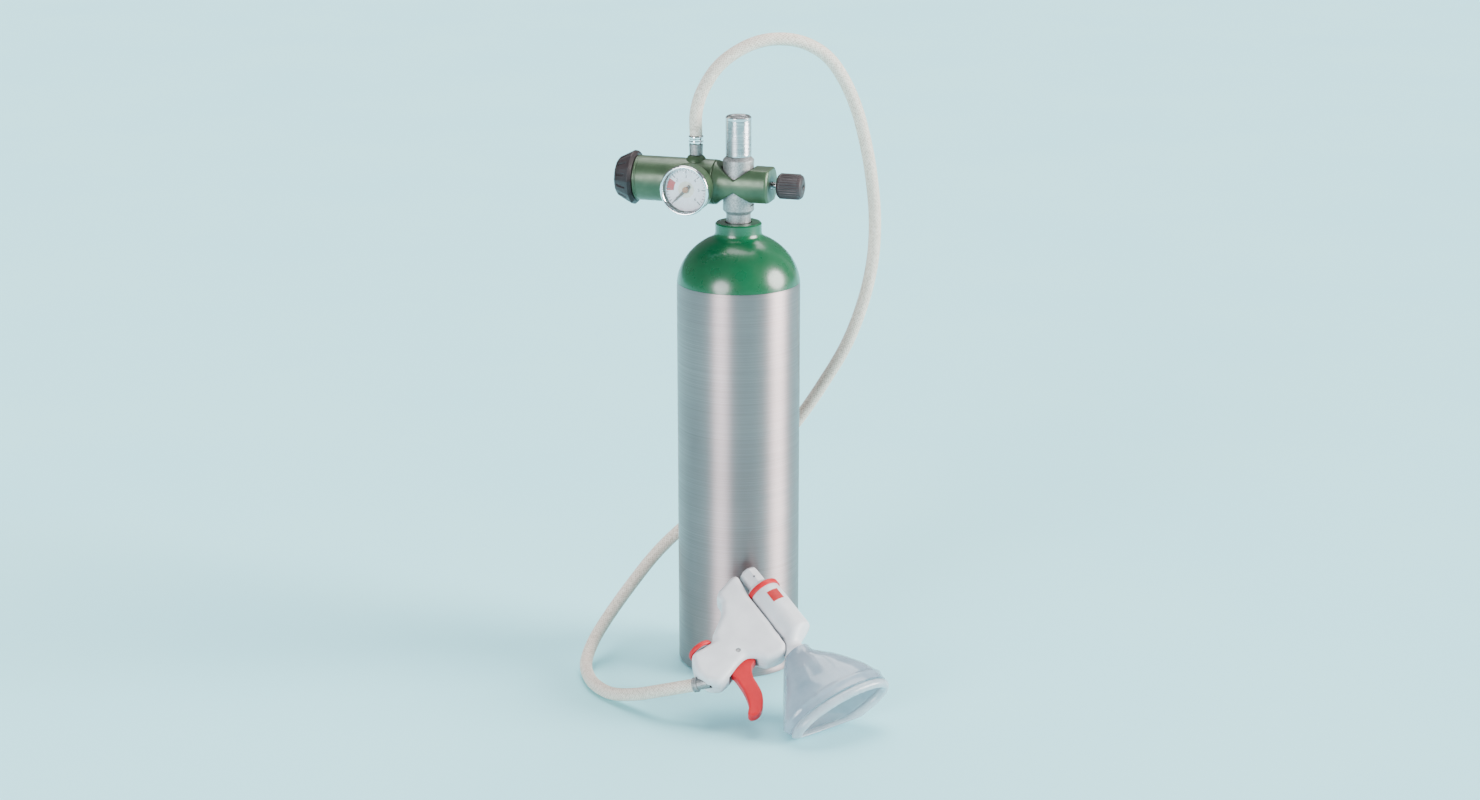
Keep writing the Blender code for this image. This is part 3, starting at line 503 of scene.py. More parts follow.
def soften(piece, voxel, rounds):
    """Rounds every edge a little, as in a casting or a moulding."""
    remesh = piece.modifiers.new("remesh", "REMESH")
    remesh.mode = "VOXEL"
    remesh.voxel_size = voxel * MM
    smooth = piece.modifiers.new("smooth", "SMOOTH")
    smooth.factor = 0.5
    smooth.iterations = rounds
    return bake(piece)


def bar(name, radius, start, end, place, segments=48):
    """A plain round cutter between two points."""
    axis = Vector(end) - Vector(start)
    local = frame_at(start, axis, place)
    profile = [(0, 0), (radius, 0), (radius, axis.length), (0, axis.length)]
    return turned(name, profile, local, segments, 0)


def brick(name, low, high, place):
    """A box cutter between two corners."""
    (x0, y0, z0), (x1, y1, z1) = low, high
    square = [(x0, y0), (x1, y0), (x1, y1), (x0, y1)]
    return skin(name, [[(x, y, z0) for x, y in square], [(x, y, z1) for x, y in square]], place)


def plate(name, outline, low, high, place, bevel=0.0, segments=4):
    """A flat outline made solid, with rounded rims."""
    made = skin(name, [[(x, y, low) for x, y in outline], [(x, y, high) for x, y in outline]], place)
    if bevel:
        rounding = made.modifiers.new("round", "BEVEL")
        rounding.width = bevel * MM
        rounding.segments = segments
        rounding.limit_method = "ANGLE"
        rounding.angle_limit = math.radians(50)
        bake(made)
    return made


def between(a, b, c, d, t):
    """A share t of the way from b to c on a smooth curve through all four (Catmull-Rom)."""
    return 0.5 * (2 * b + (c - a) * t + (2 * a - 5 * b + 4 * c - d) * t ** 2
                  + (3 * b - a - 3 * c + d) * t ** 3)


def smooth_line(points, step, closed=False):
    """Evenly spaced points on a smooth curve through the given ones."""
    samples = 24
    p = [Vector(q) for q in points]
    count = len(p)
    fine = []
    for i in range(count if closed else count - 1):
        if closed:
            a, b, c, d = (p[(i + k) % count] for k in (-1, 0, 1, 2))
        else:
            b, c = p[i], p[i + 1]
            a = p[i - 1] if i else 2 * b - c
            d = p[i + 2] if i + 2 < count else 2 * c - b
        fine += [between(a, b, c, d, j / samples) for j in range(samples)]
    fine.append(p[0] if closed else p[-1])
    lengths = [0.0]
    for first, second in zip(fine, fine[1:]):
        lengths.append(lengths[-1] + (second - first).length)
    pieces = max(2, round(lengths[-1] / step))
    line, k = [], 0
    for i in range(pieces if closed else pieces + 1):
        wanted = lengths[-1] * i / pieces
        while k < len(fine) - 2 and lengths[k + 1] < wanted:
            k += 1
        share = (wanted - lengths[k]) / max(lengths[k + 1] - lengths[k], 1e-9)
        line.append(fine[k].lerp(fine[k + 1], share))
    return line


def swept(name, line, radius, place, sides=24, closed=False):
    """A round tube along a line, without twist."""
    count = len(line)
    rings, side = [], Vector((0.3, 0.5, 0.8))
    for i, point in enumerate(line):
        before = line[i - 1] if i or closed else line[0]
        after = line[(i + 1) % count] if i + 1 < count or closed else line[-1]
        ahead = (after - before).normalized()
        side = (side - ahead * side.dot(ahead)).normalized()
        other = ahead.cross(side)
        reach = radius(i / (count - 1)) if callable(radius) else radius
        rings.append([point + reach * (math.cos(a) * side + math.sin(a) * other)
                      for a in (2 * math.pi * j / sides for j in range(sides))])
    return skin(name, rings, place, closed=closed)


def piece(made, body, slot, *nodes, material=None, sharp=32):
    """Gives a finished mesh its body and its slot's material, or the one given, and hides the CAD nodes it
    stands for.
    """
    made.data.materials.clear()
    made.data.materials.append(material or LOOKS[slot])
    made.data.polygons.foreach_set("material_index", [0] * len(made.data.polygons))
    made.data.shade_smooth()
    made.data.set_sharp_from_angle(angle=math.radians(sharp))
    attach(made, body)
    if nodes:
        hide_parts(*nodes)
    return made


def joined(name, parts):
    """One mesh object from several."""
    shape = bmesh.new()
    for part in parts:
        shape.from_mesh(part.data)
        bpy.data.objects.remove(part, do_unlink=True)
    mesh = bpy.data.meshes.new(name)
    shape.to_mesh(mesh)
    shape.free()
    return bare(name, mesh)


# ---- the hose ----------------------------------------------------------------------------------

# Millimetres, from the regulator's ferrule to just before the handpiece's fitting
HOSE_ROUTE = [
    (-39.5, 0.0, 493.1),
    (-39.5, 0.4, 513.0),
    (-34.0, 2.6, 533.0),
    (-21.0, 8.2, 554.5),
    (-3.0, 18.0, 569.0),
    (15.5, 29.0, 576.0),
    (34.5, 40.5, 576.0),
    (51.0, 51.0, 570.0),
    (66.0, 61.0, 557.5),
    (78.0, 70.5, 536.5),
    (87.0, 79.0, 511.0),
    (93.5, 85.5, 482.0),
    (98.5, 91.0, 449.0),
    (101.5, 95.5, 409.0),
    (99.5, 98.5, 368.0),
    (91.0, 99.0, 327.0),
    (76.0, 97.0, 285.0),
    (54.5, 92.0, 245.5),
    (32.0, 85.5, 210.0),
    (7.0, 77.5, 177.5),
    (-19.5, 68.5, 150.0),
    (-46.0, 57.0, 126.5),
    (-70.5, 41.0, 105.0),
    (-89.0, 21.5, 85.0),
    (-104.5, -3.5, 62.0),
    (-117.5, -28.0, 39.5),
    (-126.0, -49.0, 20.5),
    (-125.0, -73.0, 9.0),
    (-115.5, -95.5, 6.3),
    (-99.5, -118.0, 6.0),
    (-78.0, -134.5, 7.0),
    (-50.5, -148.0, 15.0),
]


def make_hose():
    """The braided hose, free from the regulator's ferrule to the handpiece's fitting, and its ends."""
    end = HAND @ (GRIP_FITTING_AT + 9.0 * GRIP_FITTING_AXIS) / MM
    ahead = HAND.to_3x3().normalized() @ GRIP_FITTING_AXIS
    route = [Vector(p) for p in HOSE_ROUTE] + [end + 28 * ahead, end]
    line = smooth_line(route, 4.0)
    hose = piece(swept("breathing_hose", line, HOSE_R, UPRIGHT, 32), ROOT, "hose_cream", "hose", sharp=60)

    ring = [(3.6, 40.7), (6.5, 40.7), (6.7, 40.0), (6.7, 38.6), (6.35, 38.2), (6.35, 36.6),
            (6.7, 36.2), (6.7, 34.6), (6.5, 33.9), (3.6, 33.9)]
    ferrule = piece(turned("crimped_ferrule", ring, OUTLET, soft=0.25), ROOT, "chrome",
                    "hose_ferrule")

    def hexagon(angle, height, radius):
        if not 13 < height < 32 or radius < 5:
            return radius
        return radius * (0.5 + 0.5 * faceted(angle, 6))

    stem = [(3.2, 40.3), (3.2, 33.6), (5.9, 33.6), (6.25, 33.0), (6.25, 24.2), (5.9, 23.6),
            (4.0, 23.6), (4.0, 12.0), (1.5, 12.0), (1.5, 40.3)]
    outlet = piece(turned("outlet_stem", stem, OUTLET, 96, 0.25, hexagon), ROOT, "cast_metal",
                   "outlet_fitting")
    end_stem = [(1.8, 8.7), (6.2, 8.7), (6.6, 8.2), (6.6, 7.2), (6.2, 6.9), (6.2, 6.3), (6.6, 6.0),
                (6.6, 4.5), (4.9, 4.3), (4.9, -7.0), (1.8, -7.0)]
    place = frame_at(GRIP_FITTING_AT, GRIP_FITTING_AXIS, HAND)
    fitting = piece(turned("grip_end_fitting", end_stem, place, soft=0.2), ROOT, "cast_metal",
                    "grip_hose_fitting")


# ---- cylinder and valve ------------------------------------------------------------------------

def arc(centre, radii, first, last, count):
    """Points of an elliptical arc in (radius, height), its angles in degrees from +radius."""
    for i in range(count + 1):
        angle = math.radians(first + (last - first) * i / count)
        yield (centre[0] + radii[0] * math.cos(angle), centre[1] + radii[1] * math.sin(angle))


def make_cylinder():
    """The bare metal bottle up to the paint, and the painted shoulder and collar above it."""
    low = list(arc((CYLINDER_R - 5, 5), (5, 5), -90, 0, 8))
    wall = [(CYLINDER_R, z) for z in (60, 120, 180, 240, 300, PAINT_FROM - 4.5)]
    turn = (PAINT_FROM - SHOULDER_Z) / SHOULDER_RISE
    shoulder_r = CYLINDER_R * math.sqrt(1 - turn * turn)
    bare_top = [(shoulder_r, PAINT_FROM), (shoulder_r - 5, PAINT_FROM)]
    inside = [(CYLINDER_R - 5.2, 340), (CYLINDER_R - 5.2, 21), (CYLINDER_R - 17, 9), (0, 9)]
    profile = [(0, 0), (CYLINDER_R - 14, 0), (CYLINDER_R - 13, 0.8), (CYLINDER_R - 8, 0.8),
               (CYLINDER_R - 7, 0)]
    profile += low + wall + bare_top + inside
    piece(turned("bottle_wall", profile, UPRIGHT, 160, 0), ROOT, "brushed_aluminium", "cylinder_shell")
    first = math.degrees(math.asin(turn)) + 0.3
    last = math.degrees(math.acos(24.5 / CYLINDER_R))
    edge = 0.12
    curve = arc((0, SHOULDER_Z), (CYLINDER_R, SHOULDER_RISE), first, last, 26)
    shoulder = [(r + edge, z) for r, z in curve]
    neck = [(22.3, 404.6), (21.3, 406.3), (NECK_R, 408.5), (NECK_R, CYLINDER_H - 1.2),
            (NECK_R - 1.2, CYLINDER_H), (12.2, CYLINDER_H), (12.2, 400), (45, 370), (50, PAINT_FROM)]
    painted = turned("painted_shoulder", shoulder + neck, UPRIGHT, 160, 0)
    piece(painted, ROOT, "green_anodised", "cylinder_shell", material=GREEN_PAINT)


def make_valve():
    """The cast post with its two flats, and the bright handle with its fine turned rings."""
    low, high = BLOCK_LOW, BLOCK_HIGH
    profile = [(BLOCK_R - 3.3, high), (BLOCK_R, high - 3.3), (BLOCK_R, low + 3.3), (11.0, low),
               (11.0, CYLINDER_H + 0.3), (9.5, CYLINDER_H + 0.3), (9.5, 392), (2.0, 392), (2.0, 440),
               (4.4, 440), (4.4, 464), (7.5, 464), (7.5, high)]
    body = turned("post_block", profile, UPRIGHT, 72, 0.5)
    cutters = [brick("flat", (near, -12, 433), (far, 12, 471), UPRIGHT)
               for near, far in ((-20.0, -12.5), (12.5, 20.0))]
    cutters.append(bar("inlet_hole", GAS_BORE, (-20, 0, AXIS_Z), (-2, 0, AXIS_Z), UPRIGHT))
    pin_z = AXIS_Z - PIN_DROP
    cutters += [bar("pin_hole", 2.2, (-20, y, pin_z), (-8.5, y, pin_z), UPRIGHT)
                for y in (-PIN_SIDE, PIN_SIDE)]
    cutters.append(bar("plug_hole", 4.3, (0, 5, 433), (0, 20, 433), UPRIGHT))
    carve(body, cutters)
    piece(body, ROOT, "cast_metal", "valve_body")

    outer = [(0, 505.3), (3.7, 505.3), (3.7, 484), (8.2, 484), (8.2, high + 0.3), (KNOB_R, high + 0.3)]
    pitch, count, groove = 1.15, 27, 0.16
    for i in range(count):
        z = high + 1.6 + i * pitch
        outer += [(KNOB_R, z), (KNOB_R - groove, z + 0.3), (KNOB_R - groove, z + 0.55),
                  (KNOB_R, z + 0.85)]
    outer += [(KNOB_R, 511.6), (KNOB_R - 1.4, 512.9), (KNOB_R - 2.6, 513.0), (KNOB_R - 3.2, 512.2),
              (0, 512.0)]
    piece(turned("valve_handle_cap", outer, UPRIGHT, 96, 0.08), "valve_handle", "steel", "valve_knob",
          material=BRIGHT_STEEL, sharp=24)


# ---- regulator ---------------------------------------------------------------------------------

def make_yoke():
    """The yoke: a waist across the post, and a block with a faceted end towards the clamp."""
    profile = [(0, 31), (YOKE_R - 1.8, 31), (YOKE_R, 29.2), (YOKE_R, -14), (BARREL_R, -20), (0, -20)]
    yoke = turned("yoke_casting", profile, ALONG_X, 64, 0)
    half = [(-21, 20.5), (-20, 20.3), (-14, 14.75), (0, 5.5), (14, 14.75), (32, 14.75)]
    outline = half + [(x, -z) for x, z in reversed(half)]
    front = frame_at((0, 0, AXIS_Z), (0, -1, 0))
    carve(yoke, [plate("yoke_side", outline, -25, 25, front)], "INTERSECT")
    window = BLOCK_R + 0.35
    carve(yoke, [bar("window", window, (0, 0, AXIS_Z - 30), (0, 0, AXIS_Z + 30), UPRIGHT, 72),
                 brick("seat", (-14.6, -6.5, AXIS_Z - 16), (0, 6.5, AXIS_Z + 16), UPRIGHT),
                 bar("pad_bore", 6.2, (5, 0, AXIS_Z), (20.8, 0, AXIS_Z), UPRIGHT),
                 bar("screw_bore", 3.35, (18, 0, AXIS_Z), (40, 0, AXIS_Z), UPRIGHT),
                 bar("gas_bore", GAS_BORE, (-25, 0, AXIS_Z), (-10, 0, AXIS_Z), UPRIGHT)])
    soften(yoke, 0.62, 5)
    pin_z = AXIS_Z - PIN_DROP
    pins = [bar("pin", 2.1, (-18.8, y, pin_z), (-10, y, pin_z), UPRIGHT)
            for y in (-PIN_SIDE, PIN_SIDE)]
    carve(yoke, pins)
    piece(yoke, ROOT, "green_anodised", "regulator_yoke", sharp=50)


def make_barrel():
    """The regulator's barrel, with the boss under the hose outlet."""
    left, right = -94.0, -20.3
    # A groove runs round it near the selector's end
    profile = [(3.2, right), (BARREL_R - 0.8, right), (BARREL_R, right - 0.8), (BARREL_R, left + 3.2),
               (BARREL_R - 0.5, left + 2.8), (BARREL_R - 0.5, left + 1.8), (BARREL_R, left + 1.4),
               (BARREL_R, left), (14.2, left), (14.2, -50), (5.0, -50), (5.0, -40), (1.6, -40), (1.6, -29),
               (3.2, -29)]
    barrel = turned("regulator_casing", profile, ALONG_X, 112, 0.25)
    boss = [(0, 12), (9.6, 12), (9.6, 18.5), (8.6, 20.6), (6.9, 22.9), (6.2, 23.3), (0, 23.3)]
    carve(barrel, [turned("boss", boss, OUTLET, 64, 0.5)], "UNION")
    stem_bore = 4.3
    carve(barrel, [bar("outlet_bore", stem_bore, (OUTLET_X, 0, AXIS_Z + 2), (OUTLET_X, 0, AXIS_Z + 30),
                       UPRIGHT),
                   bar("gauge_bore", stem_bore, (GAUGE_X, -3, GAUGE_Z), (GAUGE_X, -26, GAUGE_Z),
                       UPRIGHT)])
    piece(barrel, ROOT, "green_anodised", "regulator_barrel")


def make_flow_knob():
    """The flow selector: a flared skirt that tapers to the end, with short grip slots."""
    slots, low, high, half = 12, -109.5, -100.2, 1.1

    def slotted(angle, height, radius):
        turn = (angle * slots / (2 * math.pi)) % 1.0
        away = abs(turn - 0.5) * 2 * math.pi * radius / slots
        depth = 0.0
        if radius > 12 and low < height < high and away < half:
            ends = min(1, (height - low) / 0.8, (high - height) / 0.8)
            depth = 1.3 * min(1, (half - away) / 0.4) * ends
        return radius * (0.35 + 0.65 * faceted(angle, slots)) - depth if radius > 12 else radius

    tapered = [(24.75 - 7.15 * i / 24, -97 - 14 * i / 24) for i in range(25)]
    profile = [(0, -106), (3.3, -106), (3.3, -94.3), (22.3, -94.3)] + tapered
    profile += [(16.3, -112), (13.2, -112), (12.6, -111.3), (0, -111.3)]
    made = turned("selector_knob", profile, ALONG_X, 264, 0.3, slotted)
    piece(made, "flow_selector", "dark_plastic", "flow_knob", sharp=26)


def make_clamp():
    """The clamp's knurled knob and its bright threaded screw."""
    ribs = 30

    def knurled(angle, height, radius):
        deep = 0.62 if radius > 11.0 and 40.2 < height < 57.2 else 0.0
        return radius - deep * (0.5 + 0.5 * math.cos(ribs * angle))

    side = [(11.5, 39.3 + 17.0 * i / 10) for i in range(11)]
    profile = [(0, 48), (3.3, 48), (3.3, 37), (9.4, 37)] + side
    profile += [(9.9, 58.9), (6.5, 60), (3.0, 60), (2.2, 59.4), (1.8, 56), (0, 56)]
    piece(turned("clamp_grip", profile, ALONG_X, 216, 0.3, knurled), "clamp_handle", "dark_plastic",
          "clamp_knob", sharp=40)
    thread = [(0, 16.1), (2.6, 16.1), (3.0, 16.6)]
    pitch = 1.5
    for i in range(19):
        x = 17.2 + i * pitch
        thread += [(3.0, x), (2.62, x + 0.55), (2.62, x + 0.75), (3.0, x + 1.2)]
    thread += [(3.0, 47.1), (2.6, 47.5), (0, 47.5)]
    piece(turned("threaded_clamp_screw", thread, ALONG_X, 48, 0), "clamp_handle", "steel",
          "clamp_screw", material=BRIGHT_STEEL, sharp=25)


# ---- gauge -------------------------------------------------------------------------------------

def number(name, text, size, at, height):
    """A number on the dial, as a mesh in the gauge's frame."""
    curve = bpy.data.curves.new(name, "FONT")
    curve.body = text
    curve.size = size
    curve.align_x = "CENTER"
    curve.align_y = "CENTER"
    curve.extrude = 0.04
    curve.resolution_u = 3
    written = bare(name, curve)
    graph = bpy.context.evaluated_depsgraph_get()
    mesh = bpy.data.meshes.new_from_object(written.evaluated_get(graph))
    bpy.data.objects.remove(written, do_unlink=True)
    mesh.transform(GAUGE @ Matrix.Translation((*at, height)))
    return bare(name, mesh)


def make_gauge():
    """The pressure gauge: case, polished bezel, printed dial, hub and lens."""
    case = [(4.4, 23.5), (4.4, 12.5), (14.5, 12.5), (20.5, 18.5), (22.0, 20.5), (22.0, 33.2), (21.6, 33.7),
            (20.0, 33.7), (20.0, 23.5)]
    body = turned("gauge_housing", case, GAUGE, 96, 0.3)
    carve(body, [bar("saddle", BARREL_R + 0.3, (-90, 0, AXIS_Z), (0, 0, AXIS_Z), UPRIGHT, 96)])
    piece(body, ROOT, "green_anodised", "gauge_case")
    ring = [(20.9, 34.0), (22.1, 34.0), (22.5, 34.6), (22.5, 36.6), (22.1, 37.6), (21.2, 38.0),
            (20.4, 37.7), (19.6, 36.6), (19.6, 36.2), (20.9, 36.2)]
    piece(turned("polished_bezel", ring, GAUGE, 128, 0.3), ROOT, "chrome", "gauge_bezel")
    glass = [(0, 34.4), (20.3, 34.4), (20.4, 35.4), (19.0, 35.75), (12.0, 35.9), (0, 35.9)]
    piece(turned("domed_lens", glass, GAUGE, 96, 0), ROOT, "lens", "gauge_lens")

    face = 31.0
    start, sweep, divisions = 225.0, 270.0, 30
    marks = []
    for i in range(divisions + 1):
        angle = math.radians(start - sweep * i / divisions)
        long = i % 5 == 0
        inner, half = (14.4, 0.42) if long else (16.4, 0.24)
        across = Vector((-math.sin(angle), math.cos(angle)))
        out = Vector((math.cos(angle), math.sin(angle)))
        corners = [out * inner - across * half, out * 18.4 - across * half,
                   out * 18.4 + across * half, out * inner + across * half]
        marks.append(plate(f"tick_{i}", [tuple(c) for c in corners], face + 0.02, face + 0.10, GAUGE))
        if long:
            marks.append(number(f"number_{i}", str(i // 5), 4.2, out * 11.8, face + 0.06))
    piece(joined("dial_marks", marks), ROOT, "pointer_dark", material=INK)
    wedge = []
    for radius, span in ((17.9, range(0, 9)), (11.2, range(8, -1, -1))):
        for k in span:
            angle = math.radians(185 - 37 * k / 8)
            wedge.append((radius * math.cos(angle), radius * math.sin(angle)))
    zone = plate("red_zone", wedge, face + 0.01, face + 0.06, GAUGE)
    piece(zone, ROOT, "red_plastic", material=RED_INK)
    disc = [(1.5, face + 0.01), (7.4, face + 0.01), (7.4, face + 0.12), (1.5, face + 0.12)]
    piece(turned("inner_disc", disc, GAUGE, 64, 0), ROOT, "dial_white", material=PALE_DISC)
    hub = [(0, 32.75), (2.6, 32.75), (2.9, 33.0), (2.6, 33.7), (1.6, 34.0), (0, 34.05)]
    piece(turned("pointer_hub", hub, GAUGE, 48, 0.1), "gauge_needle", "brass", material=HUB_BROWN)


# ---- handpiece ---------------------------------------------------------------------------------

GRIP_OUTLINE = [
    (-26.0, 11.5), (-25.0, 19.0), (-22.5, 27.0), (-19.5, 36.0), (-15.0, 40.5), (-8.0, 40.5),
    (3.0, 47.8), (11.0, 58.5), (16.5, 66.0), (22.0, 67.6), (22.0, 92.4), (27.5, 94.5), (35.0, 97.5),
    (43.0, 98.8), (55.0, 95.8), (62.5, 87.5), (59.5, 76.5), (54.0, 64.0), (51.0, 52.0),
    (56.5, 46.0), (63.5, 40.0), (66.0, 31.0), (67.0, 21.5), (60.0, 16.0), (30.0, 15.5), (0.0, 15.5),
]
SCREWS = [(-13.0, 30.0), (36.0, 84.0)]
GRIP_WALL = 3.2


def inset(outline, distance):
    """The outline moved inwards. It runs clockwise."""
    moved = []
    for i, point in enumerate(outline):
        before = Vector(point) - Vector(outline[i - 1])
        after = Vector(outline[(i + 1) % len(outline)]) - Vector(point)
        normal = (before.normalized() + after.normalized()).normalized()
        moved.append(tuple(Vector(point) + distance * Vector((normal.y, -normal.x))))
    return moved


def trigger_bore():
    """A cutter for the hole that the trigger's pin goes through."""
    return bar("pin", 2.3, (*TRIGGER_PIVOT, -14), (*TRIGGER_PIVOT, 14), HAND)


def make_grip():
    """The two moulded halves of the handle, with a seam between them, and the screws that hold them."""
    outer = plate("grip_body", GRIP_OUTLINE, -GRIP_HALF, GRIP_HALF, HAND, 6.0, 5)
    soften(outer, 1.0, 14)
    # A small round dimple in the front half
    middle = HAND @ Vector((42.0, 14.5, -GRIP_HALF))
    inward = (HAND.to_3x3() @ Vector((0, 0, 1))).normalized()
    reach, depth, width = 14, 1.1, 5.0
    for vertex in outer.data.vertices:
        away = (vertex.co - middle).length / MM
        if away < reach:
            vertex.co += inward * depth * MM * math.exp(-(away / width) ** 2)
    for name, node, low, high in (("grip_front_half", "grip_shell_front", -0.15, 60),
                                  ("grip_back_half", "grip_shell_back", -60, 0.15)):
        shell = bare(name, outer.data.copy())
        hollow = plate("hollow", inset(GRIP_OUTLINE, GRIP_WALL), -8.6, 8.6, HAND)
        posts = [bar("post", 3.6, (s, t, -12), (s, t, 12), HAND) for s, t in SCREWS]
        slot_half = TRIGGER_HALF + 0.8
        at, axis = GRIP_FITTING_AT, GRIP_FITTING_AXIS
        cutters = [brick("half", (-60, -20, low), (140, 140, high), HAND),
                   carve(hollow, posts),
                   bar("tube", HAND_BARREL_R + 0.3, (-8, 0, 0), (90, 0, 0), HAND, 64),
                   bar("cap", 9.2, (-40, 0, 0), (-5, 0, 0), HAND),
                   bar("ring", 16.8, (-3.2, 0, 0), (3.2, 0, 0), HAND, 64),
                   bar("neck", 11.4, (51, OUTLET_OFFSET, 0), (90, OUTLET_OFFSET, 0), HAND),
                   bar("throat", 13.2, (50, 5, 0), (60, 5, 0), HAND),
                   brick("slot", (43, 44, -slot_half), (66, 76.5, slot_half), HAND),
                   trigger_bore(),
                   bar("cover", 9.95, (15, COVER_T, 0), (26, COVER_T, 0), HAND),
                   bar("fitting", 5.2, at - axis * 9, at + axis * 12, HAND),
                   bar("flange", 7.2, at + axis * 4, at + axis * 20, HAND)]
        for s, t in SCREWS:
            cutters += [bar("screw", 1.7, (s, t, -6.5), (s, t, 14), HAND),
                        bar("head", 3.1, (s, t, 9.2), (s, t, 14), HAND)]
        carve(shell, cutters)
        piece(shell, ROOT, "white_plastic", node, sharp=48)
    bpy.data.objects.remove(outer, do_unlink=True)
    for k, (s, t) in enumerate(SCREWS):
        head = [(0, -6.0), (1.4, -6.0), (1.4, 9.6), (2.8, 9.6), (2.8, 10.5), (2.2, 11.0), (0, 11.1)]
        screw = turned(f"case_screw_{k + 1}", head, frame_at((s, t, 0), (0, 0, 1), HAND), 40, 0.15)
        long, wide = 1.7, 0.35
        arms = [brick("arm", (s - long, t - wide, 10.0), (s + long, t + wide, 12), HAND),
                brick("arm", (s - wide, t - long, 10.0), (s + wide, t + long, 12), HAND)]
        carve(screw, arms)
        piece(screw, ROOT, "steel", f"grip_screw_{k + 1}")


def ring_points(s, offset, radius, count=72):
    """A circle across the barrel's axis."""
    angles = [2 * math.pi * i / count for i in range(count)]
    return [(s, offset + radius * math.cos(a), radius * math.sin(a)) for a in angles]


def make_hand_barrel():
    """The barrel with its elbow to the mask, the octagonal cap, the red ring and a plain red mark."""
    stations = [(-7.5, 0, 9.4), (-7.1, 0, 10.4), (-4.2, 0, 13.8), (-3.3, 0, 14.7), (-2.6, 0, 15.0),
                (20.0, 0, 15.0), (50.5, 0, 15.0), (52.3, 0.4, 14.8), (53.6, 1.6, 14.2), (56.5, 5.0, 12.6),
                (60.0, 9.2, 10.1), (61.8, 10.9, 9.3), (63.0, 11.5, 9.15), (65.0, 11.5, 9.2),
                (67.4, 11.5, 10.2), (68.0, 11.5, 10.6), (69.0, 11.5, 10.6), (69.1, 11.5, 8.4),
                (79.0, 11.5, 8.2)]
    barrel = skin("outlet_barrel", [ring_points(*row) for row in stations], HAND)
    bore = [ring_points(-3.8, 0, 11.5), ring_points(49.0, 0, 11.5), ring_points(61.0, OUTLET_OFFSET, 6.6),
            ring_points(90.0, OUTLET_OFFSET, 6.6)]
    carve(barrel, [skin("bore", bore, HAND), bar("vent", 3.2, (-12, 0, 0), (0, 0, 0), HAND)])
    piece(barrel, ROOT, "white_plastic", "hand_barrel", sharp=40)

    def octagon(angle, height, radius):
        return faceted(angle, 8, radius) if radius > 5.5 else radius

    outline = [(0, -22.5), (4.8, -22.5), (4.8, -7.8), (8.9, -7.8), (9.1, -8.4), (9.1, -23.4), (8.6, -24.6),
               (6.6, -26.5), (0, -26.6)]
    cap = turned("vent_cap", outline, BARREL, 96, 0.5, octagon)
    carve(cap, [bar("hole", 1.2, (-15, 0, -14), (-15, 0, 14), HAND)])
    piece(cap, ROOT, "white_plastic", "barrel_cap", sharp=20)
    band = [(15.3, -2.4), (16.2, -2.4), (16.5, -1.9), (16.6, 0), (16.5, 1.9), (16.2, 2.4), (15.3, 2.4)]
    piece(turned("red_band", band, BARREL, 96, 0.3), ROOT, "red_plastic",
          "barrel_ring")
    # The mark is a thin curved strip. Its corners are (along the barrel, radius).
    rings = []
    low, high = HAND_BARREL_R + 0.02, HAND_BARREL_R + 0.14
    start, sweep, steps = 237, 44, 24
    for k in range(steps + 1):
        angle = math.radians(start + sweep * k / steps)
        rings.append([(s, r * math.cos(angle), r * math.sin(angle))
                      for s, r in ((9.0, low), (20.5, low), (20.5, high), (9.0, high))])
    piece(skin("barrel_mark", rings, HAND), ROOT, "red_plastic", material=RED_INK)


def make_relief_spring():
    """The light spring that closes the vent, as a fixed coil."""
    turns, count, radius, start, rise = 4, 160, 3.3, -21.55, 11.4
    line = []
    for i in range(count + 1):
        angle = 2 * math.pi * turns * i / count
        height = start + rise * i / count
        line.append(Vector((radius * math.cos(angle), radius * math.sin(angle), height)))
    spring = piece(swept("vent_spring", line, 0.45, BARREL, 12), ROOT, "steel",
                   "relief_spring", sharp=60)
    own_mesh(spring)


def make_trigger():
    """The curved red lever, bored for its pin."""
    outline = [(55.5, 46.2), (60.5, 53.0), (68.3, 57.3), (77.4, 58.4), (86.1, 60.0), (93.5, 63.5),
               (99.7, 68.5), (103.0, 74.4), (102.0, 81.3), (97.6, 82.3), (90.6, 76.6), (79.1, 73.0),
               (69.5, 71.9), (61.2, 71.6), (55.0, 72.0), (50.0, 65.5), (43.0, 62.0), (33.0, 56.0),
               (22.5, 52.5), (21.5, 48.7), (33.0, 48.7), (43.0, 49.5)]
    smooth = [tuple(p) for p in smooth_line([(x, y, 0) for x, y in outline], 1.6, True)]
    lever = plate("red_lever", [(x, y) for x, y, _ in smooth], -TRIGGER_HALF, TRIGGER_HALF, HAND, 2.6, 4)
    soften(lever, 0.6, 7)
    carve(lever, [trigger_bore()])
    piece(lever, "trigger_lever", "red_plastic", "trigger", sharp=50)


def make_grip_end():
    """The red ring and the pierced cover over the exhaust diaphragm."""
    back = frame_at((0, COVER_T, 0), (1, 0, 0), HAND)
    ring = [(10.1, 17.8), (11.6, 17.8), (12.0, 18.4), (12.0, 20.9), (11.5, 21.6), (10.1, 21.7)]
    piece(turned("red_cover_ring", ring, back, 96, 0.3), ROOT, "red_plastic",
          "cover_ring")
    lid = [(0, 17.2), (9.2, 17.2), (9.8, 17.8), (9.8, 20.4), (0, 20.4)]
    cover = turned("pierced_cover", lid, back, 72, 0.2)
    holes = []
    for i in range(6):
        angle = math.pi * i / 3
        t, z = COVER_T + 5.5 * math.cos(angle), 5.5 * math.sin(angle)
        holes.append(bar("hole", 1.4, (10, t, z), (26, t, z), HAND, 24))
    carve(cover, holes)
    piece(cover, ROOT, "white_plastic", "exhaust_cover")


# ---- mask --------------------------------------------------------------------------------------

